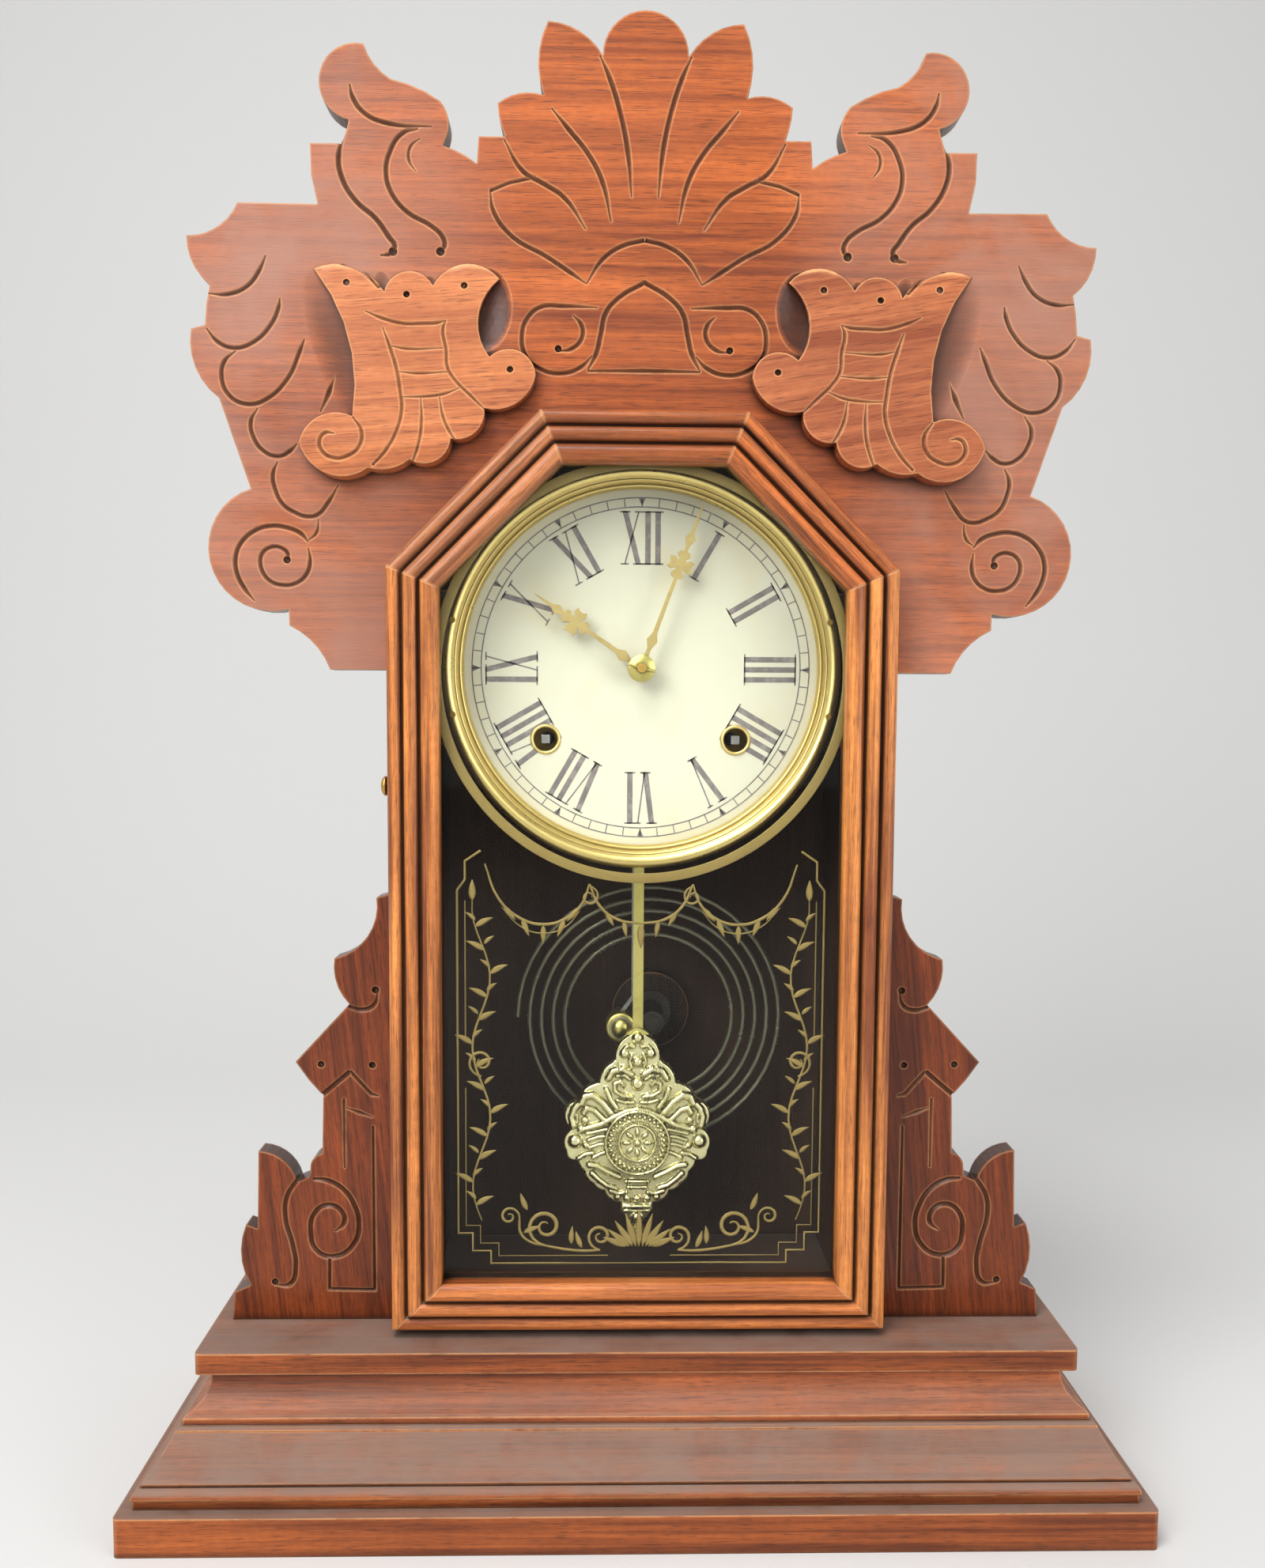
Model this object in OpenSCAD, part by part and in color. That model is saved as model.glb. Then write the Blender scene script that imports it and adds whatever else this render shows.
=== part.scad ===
// Parlor clock with a carved crest, a reeded door with a glass, a time and strike movement,
// a spring pendulum and a coil gong. Front faces -Y, the origin is under the middle of the base.

/* [Base] */
// Width of the bottom board
base_w = 378; // [340:1:420]
// Depth of the bottom board
base_d = 140; // [130:1:170]
// Thickness of the bottom board
bottom_t = 14.5; // [10:0.5:20]
// How far the bottom board stands out past the top slab, at the front and at each side
base_step = 23; // [21:0.5:30]
// Height of the sloping lower moulding
lower_h = 24; // [20:1:32]
// Height of the hollow cove moulding
cove_h = 17.5; // [16:0.5:24]
// Thickness of the top slab
slab_t = 8; // [6:0.5:14]
// Thickness of the moulding strips, measured inwards from the slab's face
strip_t = 12; // [10:1:20]
// Radius of the worn upright corners
corner_r = 2; // [1:0.5:4]

/* [Case] */
// Thickness of the side, shoulder and top boards
board_t = 9; // [7:0.5:12]
// How far the door's front stands back from the slab's front edge
door_setback = 7; // [3:0.5:12]
// Thickness of the back board
back_t = 6; // [4:0.5:10]
// How far the door stands out past the case all round
door_lap = 1.5; // [1:0.25:3]

/* [Door] */
// Width of each moulded member
member_w = 19.5; // [18.5:0.5:22]
// Thickness of the door at its inner reed
door_t = 17; // [16:0.5:20]
// Gap between the top slab and the door
door_gap_z = 2.5; // [1:0.5:4]
// Gap between the case and the back of the door
door_gap_y = 1; // [0.8:0.1:1.5]
// Width of the rabbet that holds the glass
rabbet_w = 5; // [4:0.5:6]
// Thickness of the glass
glass_t = 2; // [1.5:0.5:3]
// Depth of the rabbet
rabbet_d = 8; // [7:0.5:9]
// Gap round the glass in its rabbet
glass_fit = 0.3; // [0.1:0.1:0.6]
// Radius of the hinge knuckles
knuckle_r = 1.6; // [1.4:0.1:2]
// Length of each hinge
hinge_len = 28; // [20:1:36]
// Radius of the hinge pins
hinge_pin_r = 0.7; // [0.5:0.05:0.9]
// Running clearance of pins and arbors in their holes, on the radius
run_fit = 0.06; // [0.04:0.01:0.1]

/* [Door latch] */
// Height of the latch knob above the door's bottom edge
knob_up = 208.5; // [190:0.5:230]
// Radius of the knob's head
knob_r = 3.5; // [3:0.25:5]
// How far the knob stands out of the door's edge
knob_out = 3; // [2.5:0.25:5]
// Radius of the knob's shaft
knob_shaft_r = 1.5; // [1:0.1:1.8]
// Length of the latch tongue from its shaft
tongue_len = 15; // [14:0.5:16]

/* [Crest and wings] */
// How far the wings stay back from the ends of the top slab
wing_gap = 6.8; // [0:0.2:20]
// Thickness of the crest board and the wings
crest_t = 10; // [8:0.5:12]
// Gap between the door's back and the crest's front, to let the open door pass
crest_back = 4; // [3.5:0.25:6]
// Thickness of the applied harps at their feet
harp_t = 9; // [6:0.5:12]
// Thickness of the applied harps at their tops
harp_top_t = 1.6; // [1:0.2:4]

/* [Dial] */
// Height of the dial's centre above the top slab
dial_up = 256; // [245:0.5:280]
// Outer radius of the brass bezel, which the case is built round
bezel_r = 78; // [74:0.5:86]
// Width of the bezel
bezel_w = 9; // [7:0.5:12]
// Gap between the bezel and the side boards
dial_side_gap = 6; // [4:0.5:10]
// Gap between the bezel and the shoulder boards
dial_shoulder_gap = 3.8; // [2:0.1:8]
// Gap between the bezel and the top board
dial_top_gap = 4; // [2:0.5:10]
// How far the bezel stands out of the dial
bezel_out = 5; // [4:0.5:7]
// Thickness of the dial plate
dial_t = 1; // [0.8:0.1:2]
// Distance from the case's front edge to the dial's face
dial_in = 16; // [15:0.5:17]
// Radius of the hole for the arbor of the hands
dial_centre_r = 5; // [4:0.25:6]
// Distance of each winding hole from the centre line
wind_x = 37.2; // [36:0.2:38]
// Distance of the winding holes below the dial's centre
wind_down = 27.5; // [26:0.5:29]
// Radius of the winding holes
wind_hole_r = 5; // [4:0.25:5.5]
// Width of the ring round each winding hole
grommet_w = 1; // [0.8:0.1:1.5]

/* [Hands] */
// Length of the minute hand
minute_len = 69.5; // [64:0.5:75]
// Length of the hour hand
hour_len = 50.2; // [46:0.2:54]
// Thickness of the hands
hand_t = 0.8; // [0.5:0.1:1.2]
// Angle of the minute hand, clockwise from twelve
minute_deg = 20.4; // [0:0.1:359.9]
// Angle of the hour hand, clockwise from twelve
hour_deg = 304.5; // [0:0.1:359.9]

/* [Movement] */
// Thickness of the movement plates
plate_t = 2; // [1.5:0.25:2.5]
// Clear distance between the plates
plate_gap = 30; // [29.5:0.25:31]
// Distance from the dial's face to the front of the movement
dial_to_plate = 24; // [23:0.5:25]
// Radius of the winding arbors
winding_r = 2.5; // [2:0.1:3]
// Radius of the centre arbor
centre_r = 1.8; // [1.6:0.1:2]
// Radius of the pivots of the wheels
pivot_r = 0.8; // [0.6:0.1:1]
// Tooth size of the main wheels, their diameter over their count of teeth
main_module = 0.8; // [0.78:0.01:0.82]
// Outer radius of the mainsprings
spring_r = 17; // [14:0.5:17.5]
// Width of the mainsprings
spring_w = 15; // [12:0.5:15.5]
// Thickness of the mainspring strip
spring_strip = 0.5; // [0.3:0.1:0.7]
// Turns of each mainspring
spring_turns = 6; // [4:1:7]

/* [Pendulum and gong] */
// Distance from the dial's centre down to the pendulum's axis
pendulum_down = 26; // [25:0.5:28]
// Clearance between the end of the pendulum and the top slab
pendulum_clear = 20; // [8:0.5:40]
// Thickness of the bob's edge
bob_t = 4; // [3:0.5:6]
// Radius of the bob's medallion
medallion_r = 13.8; // [12:0.2:15]
// Width of the flat pendulum rod
rod_w = 4.2; // [3:0.2:5]
// Outer radius of the gong coil
gong_r = 59.4; // [55:0.2:61]
// Distance between neighbouring turns of the gong coil
gong_pitch = 5.15; // [4.4:0.05:5.6]
// Radius of the gong wire
gong_wire_r = 1.1; // [0.8:0.1:1.3]
// Turns of the gong coil
gong_turns = 4.75; // [3.75:1:5.75]
// Distance from the dial's centre down to the gong's centre
gong_down = 149; // [140:0.5:160]

/* [Hidden] */

$fn = 64;
// Extra length of a cutting shape past the face it cuts
cut = 1;
// Largest turn between two points of a drawn arc, in degrees
arc_step = 11;

back_y = base_d / 2;
slab_hw = base_w / 2 - base_step;
slab_front = -base_d / 2 + base_step;
lower_z = bottom_t;
cove_z = lower_z + lower_h;
slab_z = cove_z + cove_h;
floor_z = slab_z + slab_t;
board_back = back_y - back_t;
door_front = slab_front + door_setback;
door_back = door_front + door_t;
case_front = door_back + door_gap_y;
crest_front = door_back + crest_back;

dial_z = floor_z + dial_up;
inner_hw = bezel_r + dial_side_gap;
case_hw = inner_hw + board_t;
door_hw = case_hw + door_lap;
case_top_z = dial_z + bezel_r + dial_top_gap + board_t;
door_top = case_top_z + door_lap;
door_z = floor_z + door_gap_z;
// Sum of half width and height along the slanting edge of the right shoulder
door_sum = dial_z + (bezel_r + dial_shoulder_gap + board_t + door_lap) * sqrt(2);

// The door's outer edge, drawn in by a distance, from the bottom left round to the left shoulder
function hood(off, z0) = let (s = door_sum - off * sqrt(2), w = door_hw - off, t = door_top - off)
    [[-w, z0], [w, z0], [w, s - w], [s - t, t], [t - s, t], [-w, s - w]];

// Points of one arc from p to q, without q. The bulge is the tangent of a quarter of its angle,
// above 0 where the path turns left and 0 for a straight line
function arc(p, q, bulge) = bulge == 0 ? [p] : let (
    turn = 4 * atan(bulge), chord = norm(q - p), steps = max(2, ceil(abs(turn) / arc_step)),
    side = [p[1] - q[1], q[0] - p[0]] / chord,
    mid = (p + q) / 2 + side * chord / 2 / tan(turn / 2),
    start = atan2(p[1] - mid[1], p[0] - mid[0]), r = norm(p - mid))
    [for (i = [0:steps - 1]) mid + r * [cos(start + turn * i / steps), sin(start + turn * i / steps)]];
// Points of an open path of [x, z, bulge] corners
function path(c) = concat(
    [for (i = [0:len(c) - 2]) each arc([c[i][0], c[i][1]], [c[i + 1][0], c[i + 1][1]], c[i][2])],
    [[c[len(c) - 1][0], c[len(c) - 1][1]]]);
// A path that starts and ends on the centre line, with its mirror image
function both_sides(p) = concat(p, [for (i = [len(p) - 2:-1:1]) [-p[i][0], p[i][1]]]);
// A rectangle with round corners
function round_box(x0, y0, x1, y1, r) = let (b = tan(22.5)) path([[x0 + r, y0, 0], [x1 - r, y0, b],
    [x1, y0 + r, 0], [x1, y1 - r, b], [x1 - r, y1, 0], [x0 + r, y1, b], [x0, y1 - r, 0],
    [x0, y0 + r, b], [x0 + r, y0, 0]]);
function turned(p, a) = [p[0] * cos(a) - p[1] * sin(a), p[0] * sin(a) + p[1] * cos(a)];
function angle_to(p, q) = atan2(q[1] - p[1], q[0] - p[0]);

// A flat shape, drawn in X and Z, from one depth to another
module slab_y(y0, y1) {
    translate([0, y1, 0]) rotate([90, 0, 0]) linear_extrude(y1 - y0) children();
}
// A round rod along Y
module rod_y(p, y0, y1, r) {
    translate([p[0], y1, p[1]]) rotate([90, 0, 0]) cylinder(h = y1 - y0, r = r);
}
// A round rod along X
module rod_x(x0, x1, y, z, r) {
    translate([x0, y, z]) rotate([0, 90, 0]) cylinder(h = x1 - x0, r = r);
}
module mirrored_x() {
    children();
    mirror([1, 0, 0]) children();
}

// Base

// Profile of the lower moulding: distance out from the slab's face, and height
step_w = base_step - 5.5;
lower_profile = path([[-strip_t, 0, 0], [step_w, 0, 0], [step_w, 3.4, 0], [step_w + 0.6, 3.8, 0.35],
    [step_w - 1.6, 7.2, 0], [step_w - 2.6, 6.8, 0], [step_w - 2.2, 8.2, -0.06],
    [5.8, lower_h - 1.6, 0], [5.8, lower_h - 0.8, 0], [4.8, lower_h, 0], [-strip_t, lower_h, 0]]);
// Profile of the cove moulding
cove_profile = path([[-strip_t, 0, 0], [3.4, 0, 0], [3.4, 2.4, 0], [2.6, 3.2, -0.3],
    [-5, cove_h - 3, 0], [-5, cove_h, 0], [-strip_t, cove_h, 0]]);

// Three strips of one moulding, mitred at the front corners
module moulding(profile, z) {
    reach = base_step + cut;
    in = strip_t + cut;
    intersection() {
        translate([-slab_hw - reach, 0, z]) rotate([90, 0, 90])
            linear_extrude(2 * (slab_hw + reach))
                polygon([for (p = profile) [slab_front - p[0], p[1]]]);
        translate([0, 0, z - cut]) linear_extrude(lower_h + cove_h) polygon([
            [-slab_hw - reach, slab_front - reach], [slab_hw + reach, slab_front - reach],
            [slab_hw - in, slab_front + in], [-slab_hw + in, slab_front + in]]);
    }
    mirrored_x() intersection() {
        translate([0, back_y, z]) rotate([90, 0, 0])
            linear_extrude(back_y - slab_front + reach)
                polygon([for (p = profile) [slab_hw + p[0], p[1]]]);
        translate([0, 0, z - cut]) linear_extrude(lower_h + cove_h) polygon([
            [slab_hw + reach, slab_front - reach], [slab_hw + reach, back_y + cut],
            [slab_hw - in, back_y + cut], [slab_hw - in, slab_front + in]]);
    }
}
module bottom_board() color("sienna")
    linear_extrude(bottom_t) polygon(round_box(-base_w / 2, -base_d / 2, base_w / 2, back_y, corner_r));
module base_moulding() color("peru") moulding(lower_profile, lower_z);
module cove_moulding() color("peru") moulding(cove_profile, cove_z);
module base_back_rail() color("tan")
    translate([-slab_hw + strip_t, back_y - strip_t, lower_z])
        cube([2 * (slab_hw - strip_t), strip_t, slab_z - lower_z]);
module top_slab() color("sienna") translate([0, 0, slab_z]) linear_extrude(slab_t)
    polygon(round_box(-slab_hw, slab_front, slab_hw, back_y, corner_r));

// Case

// One board of the case or the door, between two outlines, from corner i to the next
function board(outer, inner, i) = let (j = (i + 1) % 6) [outer[i], outer[j], inner[j], inner[i]];
case_outer = hood(door_lap, floor_z);
case_inner = hood(door_lap + board_t, floor_z);
// Latch tongue in the left stile, which turns back into a round mortise in the case
tongue_w = 2;
tongue_x = -door_hw + 6.5;
tongue_gap = 0.5;
shaft_y = door_back - 4;
knob_z = door_z + knob_up;
strike_r = 1;
strike_y = shaft_y + tongue_len - 3;
strike_z = knob_z + 1.4;
// Hinge axis, just outside the case and the door
hinge_x = door_hw + 0.2;
hinge_y = (case_front + door_back) / 2;
hinge_up = [44, 224];
leaf_t = 0.8;
leaf_w = 9;

module case_hinge_recess() for (h = hinge_up)
    translate([hinge_x - leaf_w, case_front - cut, door_z + h])
        cube([leaf_w + cut, leaf_t + cut, hinge_len]);
module case_sides() color("saddlebrown") {
    difference() {
        slab_y(case_front, board_back) polygon(board(case_outer, case_inner, 5));
        rod_x(tongue_x - tongue_gap, tongue_x + tongue_w + tongue_gap, shaft_y, knob_z, tongue_len + 1.4);
        rod_x(-case_hw - cut, -inner_hw + cut, strike_y, strike_z, strike_r);
    }
    difference() {
        slab_y(case_front, board_back) polygon(board(case_outer, case_inner, 1));
        case_hinge_recess();
    }
}
module case_shoulders() color("saddlebrown") slab_y(case_front, board_back) {
    polygon(board(case_outer, case_inner, 2));
    polygon(board(case_outer, case_inner, 4));
}
module case_top() color("saddlebrown") slab_y(case_front, board_back)
    polygon(board(case_outer, case_inner, 3));
module back_board() color("burlywood") slab_y(board_back, back_y) polygon(case_outer);

// Crest

// The crest and the wings are drawn for this half width and top of the case, this floor, and
// this reach of the wings
drawn_hw = 93;
drawn_top = 411;
drawn_floor = 64;
drawn_reach = 66.2;
function on_crest(c) = [for (p = c) [p[0] == 0 ? 0 : p[0] + sign(p[0]) * (case_hw - drawn_hw),
    p[1] + case_top_z - drawn_top, p[2]]];
wing_reach = slab_hw - wing_gap - case_hw;
function on_wing(c) = [for (p = c) [case_hw + (p[0] - drawn_hw) * wing_reach / drawn_reach,
    p[1] + floor_z - drawn_floor, p[2]]];

// Right half of the crest, up from the case's side to the middle petal
crest_edge = [[93, 318.6, 0], [118.1, 318.6, -0.2], [133.2, 335, 0], [133.3, 341.2, 0.99],
    [146.8, 385.6, 0], [157.9, 418.6, 0.29], [167.8, 443.6, 0], [162.6, 445, 0.05],
    [160.6, 459.5, 0.24], [168.8, 477, -0.3], [149.9, 489, 0], [120.6, 488.8, 0.09],
    [123.1, 510.4, 0], [111.9, 510.4, -0.1], [108.8, 518.9, 1], [103.2, 545.6, -0.19],
    [93.4, 533.4, 0.1], [75.6, 526.1, 0.29], [73, 514, 0], [74.5, 510.2, 0.1], [62, 504, 0],
    [61.3, 513.7, 0], [51.6, 513.7, 0.1], [54.3, 525.5, 0.25], [37.4, 528.6, 0.21],
    [35.9, 554.7, 0.25], [15.8, 543, 0.414], [0, 559, 0]];
// Outline of the left harp, down its outer edge and back over its lobes
harp_edge = [[-122.3, 465.7, -0.21], [-107.3, 410.9, 0.49], [-126.6, 401.3, 0.55],
    [-101.6, 392.1, 0.25], [-86.3, 395.3, 0.57], [-71.2, 403, 0.53], [-59, 414.4, 0.44],
    [-40.2, 427, 0.66], [-57.2, 433.5, -0.41], [-53.7, 462.7, 0.55], [-78.3, 459.9, 0.73],
    [-96.2, 457.3, 0.39], [-122.3, 465.7, 0]];
harp_foot = min([for (p = harp_edge) p[1]]) - 4;
harp_flat = 12;
harp_crown = max([for (p = harp_edge) p[1]]) + 3;

module crest_board() color("sienna") slab_y(crest_front, crest_front + crest_t) polygon(both_sides(concat(
    [[0, case_outer[3][1]], case_outer[3], case_outer[2]], path(on_crest(crest_edge)))));
// The harp is thick at its foot and thins out towards its crown
module crest_harp() {
    rise = case_top_z - drawn_top;
    intersection() {
        slab_y(crest_front - harp_t - cut, crest_front) polygon(path(on_crest(harp_edge)));
        translate([-slab_hw, 0, 0]) rotate([90, 0, 90]) linear_extrude(slab_hw) polygon([
            [crest_front, harp_foot + rise - cut], [crest_front, harp_crown + rise + cut],
            [crest_front - harp_top_t, harp_crown + rise + cut],
            [crest_front - harp_t, harp_foot + rise + harp_flat],
            [crest_front - harp_t, harp_foot + rise - cut]]);
    }
}
module crest_harp_left() color("peru") crest_harp();
module crest_harp_right() color("peru") mirror([1, 0, 0]) crest_harp();

// Right wing, up its outer edge from the foot to the case's side
wing_edge = [[93, 64, 0], [159.2, 64, 0], [158.4, 75.2, 0], [152.2, 78, 0.23], [153.6, 102.3, 0],
    [149, 100.7, 0], [148.2, 131.8, 0.33], [133.4, 119.4, 0], [128.4, 121.6, 0], [128, 126.7, 0.3],
    [123.4, 130.8, 0], [122.8, 153.8, 0.05], [133.3, 167.3, 0], [112.3, 190, 0.24],
    [117.8, 207.9, -0.39], [101.5, 231.5, 0], [93, 234, 0]];
module wing() slab_y(crest_front, crest_front + crest_t) polygon(path(on_wing(wing_edge)));
module wing_right() color("sienna") wing();
module wing_left() color("sienna") mirror([1, 0, 0]) wing();

// Dial

dial_face = case_front + dial_in;
dial_back = dial_face + dial_t;
wind_z = dial_z - wind_down;
cleat_w = 14;
cleat_h = 60;
cleat_d = 8;
nail_deg = 14;
grommet_r = wind_hole_r + grommet_w;
nail_ring_r = bezel_r - bezel_w / 3;

module at_winding() for (s = [-1, 1]) translate([s * wind_x, 0, wind_z]) children();
module dial_cleats() color("burlywood") difference() {
    mirrored_x() translate([inner_hw - cleat_w, dial_back, dial_z - cleat_h / 2])
        cube([cleat_w, cleat_d, cleat_h]);
    nail_holes();
}
module dial_plate() color("ivory") difference() {
    rod_y([0, dial_z], dial_face, dial_back, bezel_r - 1.5);
    rod_y([0, dial_z], dial_face - cut, dial_back + cut, dial_centre_r);
    at_winding() rod_y([0, 0], dial_face - cut, dial_back + cut, wind_hole_r);
    nail_holes();
}
// The bezel is a raised ring with a fine inner bead, held flat on the dial
bezel_in_r = bezel_r - bezel_w;
bezel_profile = path([[bezel_in_r, 0, 0], [bezel_r, 0, 0], [bezel_r, 0.8, 0.3],
    [bezel_r - 3.6, bezel_out, 0.3], [bezel_in_r + 2.4, bezel_out - 1.8, 0],
    [bezel_in_r + 2.1, bezel_out - 2.3, 0.5], [bezel_in_r + 0.9, bezel_out - 2.9, 0],
    [bezel_in_r, bezel_out - 4, 0], [bezel_in_r, 0, 0]]);
module dial_bezel() color("gold") difference() {
    translate([0, dial_face, dial_z]) rotate([90, 0, 0]) rotate_extrude($fn = 128) polygon(bezel_profile);
    nail_holes();
}
nail_r = 0.6;
nail_deep = 6;
module nail_holes() at_nails()
    rod_y([0, 0], dial_face - bezel_out - cut, dial_back + nail_deep, nail_r + run_fit);
module at_nails() for (s = [-1, 1], a = [-nail_deg, nail_deg])
    translate([s * nail_ring_r * cos(a), 0, dial_z + nail_ring_r * sin(a)]) children();
module winding_grommets() color("gold") at_winding() translate([0, dial_face, 0]) rotate([90, 0, 0])
    rotate_extrude() polygon([[wind_hole_r - 0.4, -dial_t], [wind_hole_r, -dial_t], [wind_hole_r, 0],
        [grommet_r, 0], [grommet_r - 0.3, 0.7], [wind_hole_r, 0.8], [wind_hole_r - 0.4, 0.5]]);
module dial_nails() color("goldenrod") at_nails() {
    rod_y([0, 0], dial_face - bezel_out - 0.1, dial_back + nail_deep, nail_r);
    rod_y([0, 0], dial_face - bezel_out - 0.6, dial_face - bezel_out - 0.05, 2 * nail_r);
}

// Hands

// Half widths of a hand along its length: a small diamond, a cross and a spear point
module hand(length, cross_at, cross_r, low_at, high_at) {
    c = cross_r;
    half = [[3, 1.1], [low_at - 3.2, 0.8], [low_at, 2.2], [low_at + 3, 0.9], [cross_at - c - 0.4, 0.75],
        [cross_at - c, 0.42 * c], [cross_at - 0.72 * c, 0.52 * c], [cross_at - 0.5 * c, 0.28 * c],
        [cross_at - 0.3 * c, 0.3 * c], [cross_at - 0.5 * c, 0.62 * c], [cross_at - 0.4 * c, c],
        [cross_at - 0.12 * c, 0.86 * c], [cross_at + 0.12 * c, 0.86 * c], [cross_at + 0.4 * c, c],
        [cross_at + 0.5 * c, 0.62 * c], [cross_at + 0.3 * c, 0.3 * c], [cross_at + 0.5 * c, 0.28 * c],
        [cross_at + 0.72 * c, 0.52 * c], [cross_at + c, 0.42 * c], [cross_at + c + 0.4, 0.75],
        [high_at - 2.6, 0.8], [high_at, 2], [high_at + 2.2, 0.8], [length, 0.12]];
    polygon(concat([for (p = half) [p[1], p[0]]],
        [for (i = [len(half) - 1:-1:0]) [-half[i][1], half[i][0]]]));
}
hub_r = 5.2;
hour_y = dial_face - 6;
minute_y = hour_y - 2.6;
pipe_r = 3;
pipe_bore = centre_r + run_fit;
// A round hub with a hole, and its hand, turned to the hand's angle
module hand_on(y, deg, hole) {
    translate([0, 0, dial_z]) rotate([0, deg, 0]) difference() {
        union() {
            slab_y(y, y + hand_t) children();
            rod_y([0, 0], y, y + hand_t, hub_r);
        }
        rod_y([0, 0], y - cut, y + hand_t + cut, hole);
    }
}
module minute_hand() color("darkkhaki") hand_on(minute_y, minute_deg, centre_r)
    hand(minute_len, 42, 5, 11.3, 52.5);
module hour_hand() color("darkkhaki") hand_on(hour_y, hour_deg, pipe_r)
    hand(hour_len, 31, 5.2, 8.8, 39.5);
// Domed washer and the taper pin that holds the minute hand
module hand_washer() color("gold") translate([0, minute_y, dial_z]) {
    rotate([90, 0, 0]) rotate_extrude() polygon(path([[centre_r, 0, 0], [hub_r, 0, 0.2],
        [centre_r, 1.4, 0], [centre_r, 0, 0]]));
    taper_pin(taper_r);
}
// Cross pin through the tip of the centre arbor
taper_r = 0.5;
module taper_pin(r) rotate([0, 14, 0]) rod_x(-5.4, 5.4, -2.1, 0, r);

// Movement

plate_y = dial_face + dial_to_plate;
inside_y = plate_y + plate_t;
back_plate_y = inside_y + plate_gap;
back_face = back_plate_y + plate_t;
gong_y = back_plate_y - 8;
post_front = gong_y - 12;
centre = [0, dial_z];
great_r = 30 * main_module;
wind_time = [wind_x, wind_z];
wind_strike = [-wind_x, wind_z];
escape = [0, dial_z - 42];
// Teeth of each wheel and its pinion, and tooth sizes
great_n = 60;
second_n = 54;
second_pinion_n = 15;
centre_pinion_n = 18;
centre_n = 72;
third_pinion_n = 8;
third_n = 60;
escape_pinion_n = 6;
escape_n = 48;
second_module = 0.7;
train_module = 0.6;
// Where two distances meet, to the left of the line from p to q
function meet(p, q, rp, rq) = let (d = norm(q - p), u = (q - p) / d,
    a = (rp * rp - rq * rq + d * d) / (2 * d), h = sqrt(rp * rp - a * a)) p + a * u + h * [-u[1], u[0]];
function centres(n, m, size) = (n + m) / 2 * size;
second_time = meet(centre, wind_time, centres(second_n, centre_pinion_n, second_module),
    centres(great_n, second_pinion_n, main_module));
third_time = meet(centre, escape, centres(centre_n, third_pinion_n, train_module),
    centres(third_n, escape_pinion_n, train_module));
// Post that carries the gong, and the hammer that strikes it
gong_place = [6.8, dial_z - gong_down];
gong_post_r = 5;
// Strike train
pin_n = 54;
pin_pinion_n = 12;
warning_n = 48;
warning_pinion_n = 9;
fly_pinion_n = 8;
warning_module = 0.5;
pin_place = wind_strike + turned([centres(great_n, pin_pinion_n, main_module), 0], 75);
warning_place = pin_place + turned([centres(pin_n, warning_pinion_n, train_module), 0], 70);
fly_place = warning_place + turned([centres(warning_n, fly_pinion_n, warning_module), 0], 20);
// Motion work under the dial
cannon_n = 12;
minute_n = 36;
hour_pinion_n = 10;
hour_n = 40;
motion_module = 0.6;
motion_gap = centres(cannon_n, minute_n, motion_module);
hour_module = motion_gap * 2 / (hour_pinion_n + hour_n);
motion_place = centre + turned([motion_gap, 0], 60);
stud_pin_r = 1;
hammer_place = [-4, dial_z - 52];
post_foot = [0, dial_z - 19];
post_r = 2;
verge_place = [0, dial_z - pendulum_down];
verge_pin_r = 0.9;

// A toothed wheel: tapering teeth, set so that one points along the given angle
function teeth(n, size, deg) = let (r = n * size / 2, step = 360 / n) [for (i = [0:n - 1])
    for (k = [[-0.27, r - 1.15 * size], [-0.1, r + 0.85 * size], [0.1, r + 0.85 * size],
        [0.27, r - 1.15 * size]]) turned([k[1], 0], deg + (i + k[0]) * step)];
module gear(place, y0, width, n, size, deg) translate([place[0], 0, place[1]])
    slab_y(y0, y0 + width) polygon(teeth(n, size, deg));
// Angle at which a wheel meshes with one whose tooth points at it
function facing(from, to, n) = angle_to(to, from) + 180 / n;
// A pinion that meshes with a wheel at the place from, a little wider than that wheel
module pinion(from, place, wheel_y, n, size)
    gear(place, wheel_y - 0.8, wheel_t + 1.6, n, size, facing(from, place, n));
// An arbor with a thinner pivot in each plate
module arbor(place, r) {
    rod_y(place, inside_y + 0.3, back_plate_y - 0.3, r);
    rod_y(place, plate_y, back_face, pivot_r);
}
// Windows that lighten a wheel
module windows(place, y0, width, r_in, r_out, count) translate([place[0], 0, place[1]])
    for (i = [0:count - 1]) slab_y(y0 - cut, y0 + width + cut) rotate(360 * (i + 0.5) / count)
        translate([(r_in + r_out) / 2, 0]) circle(r = (r_out - r_in) / 2);

plate_hw = 52;
plate_top_hw = 34;
plate_down = 62;
plate_up = 38;
plate_notch_r = 9;
plate_eye_r = 5.5;
plate_low = dial_z - plate_down;
plate_high = dial_z + plate_up;
plate_outline = [[-plate_hw, plate_low], [plate_hw, plate_low], [plate_hw, dial_z],
    [plate_top_hw, plate_high], [-plate_top_hw, plate_high], [-plate_hw, dial_z]];
pillar_in = 5;
pillar_low = [plate_hw - pillar_in, plate_low + pillar_in];
pillar_high = [plate_top_hw - 3, plate_high - pillar_in];
pillar_at = [[-pillar_low[0], pillar_low[1]], pillar_low, pillar_high,
    [-pillar_high[0], pillar_high[1]]];
pillar_r = 2.6;
foot_r = 4;

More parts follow.
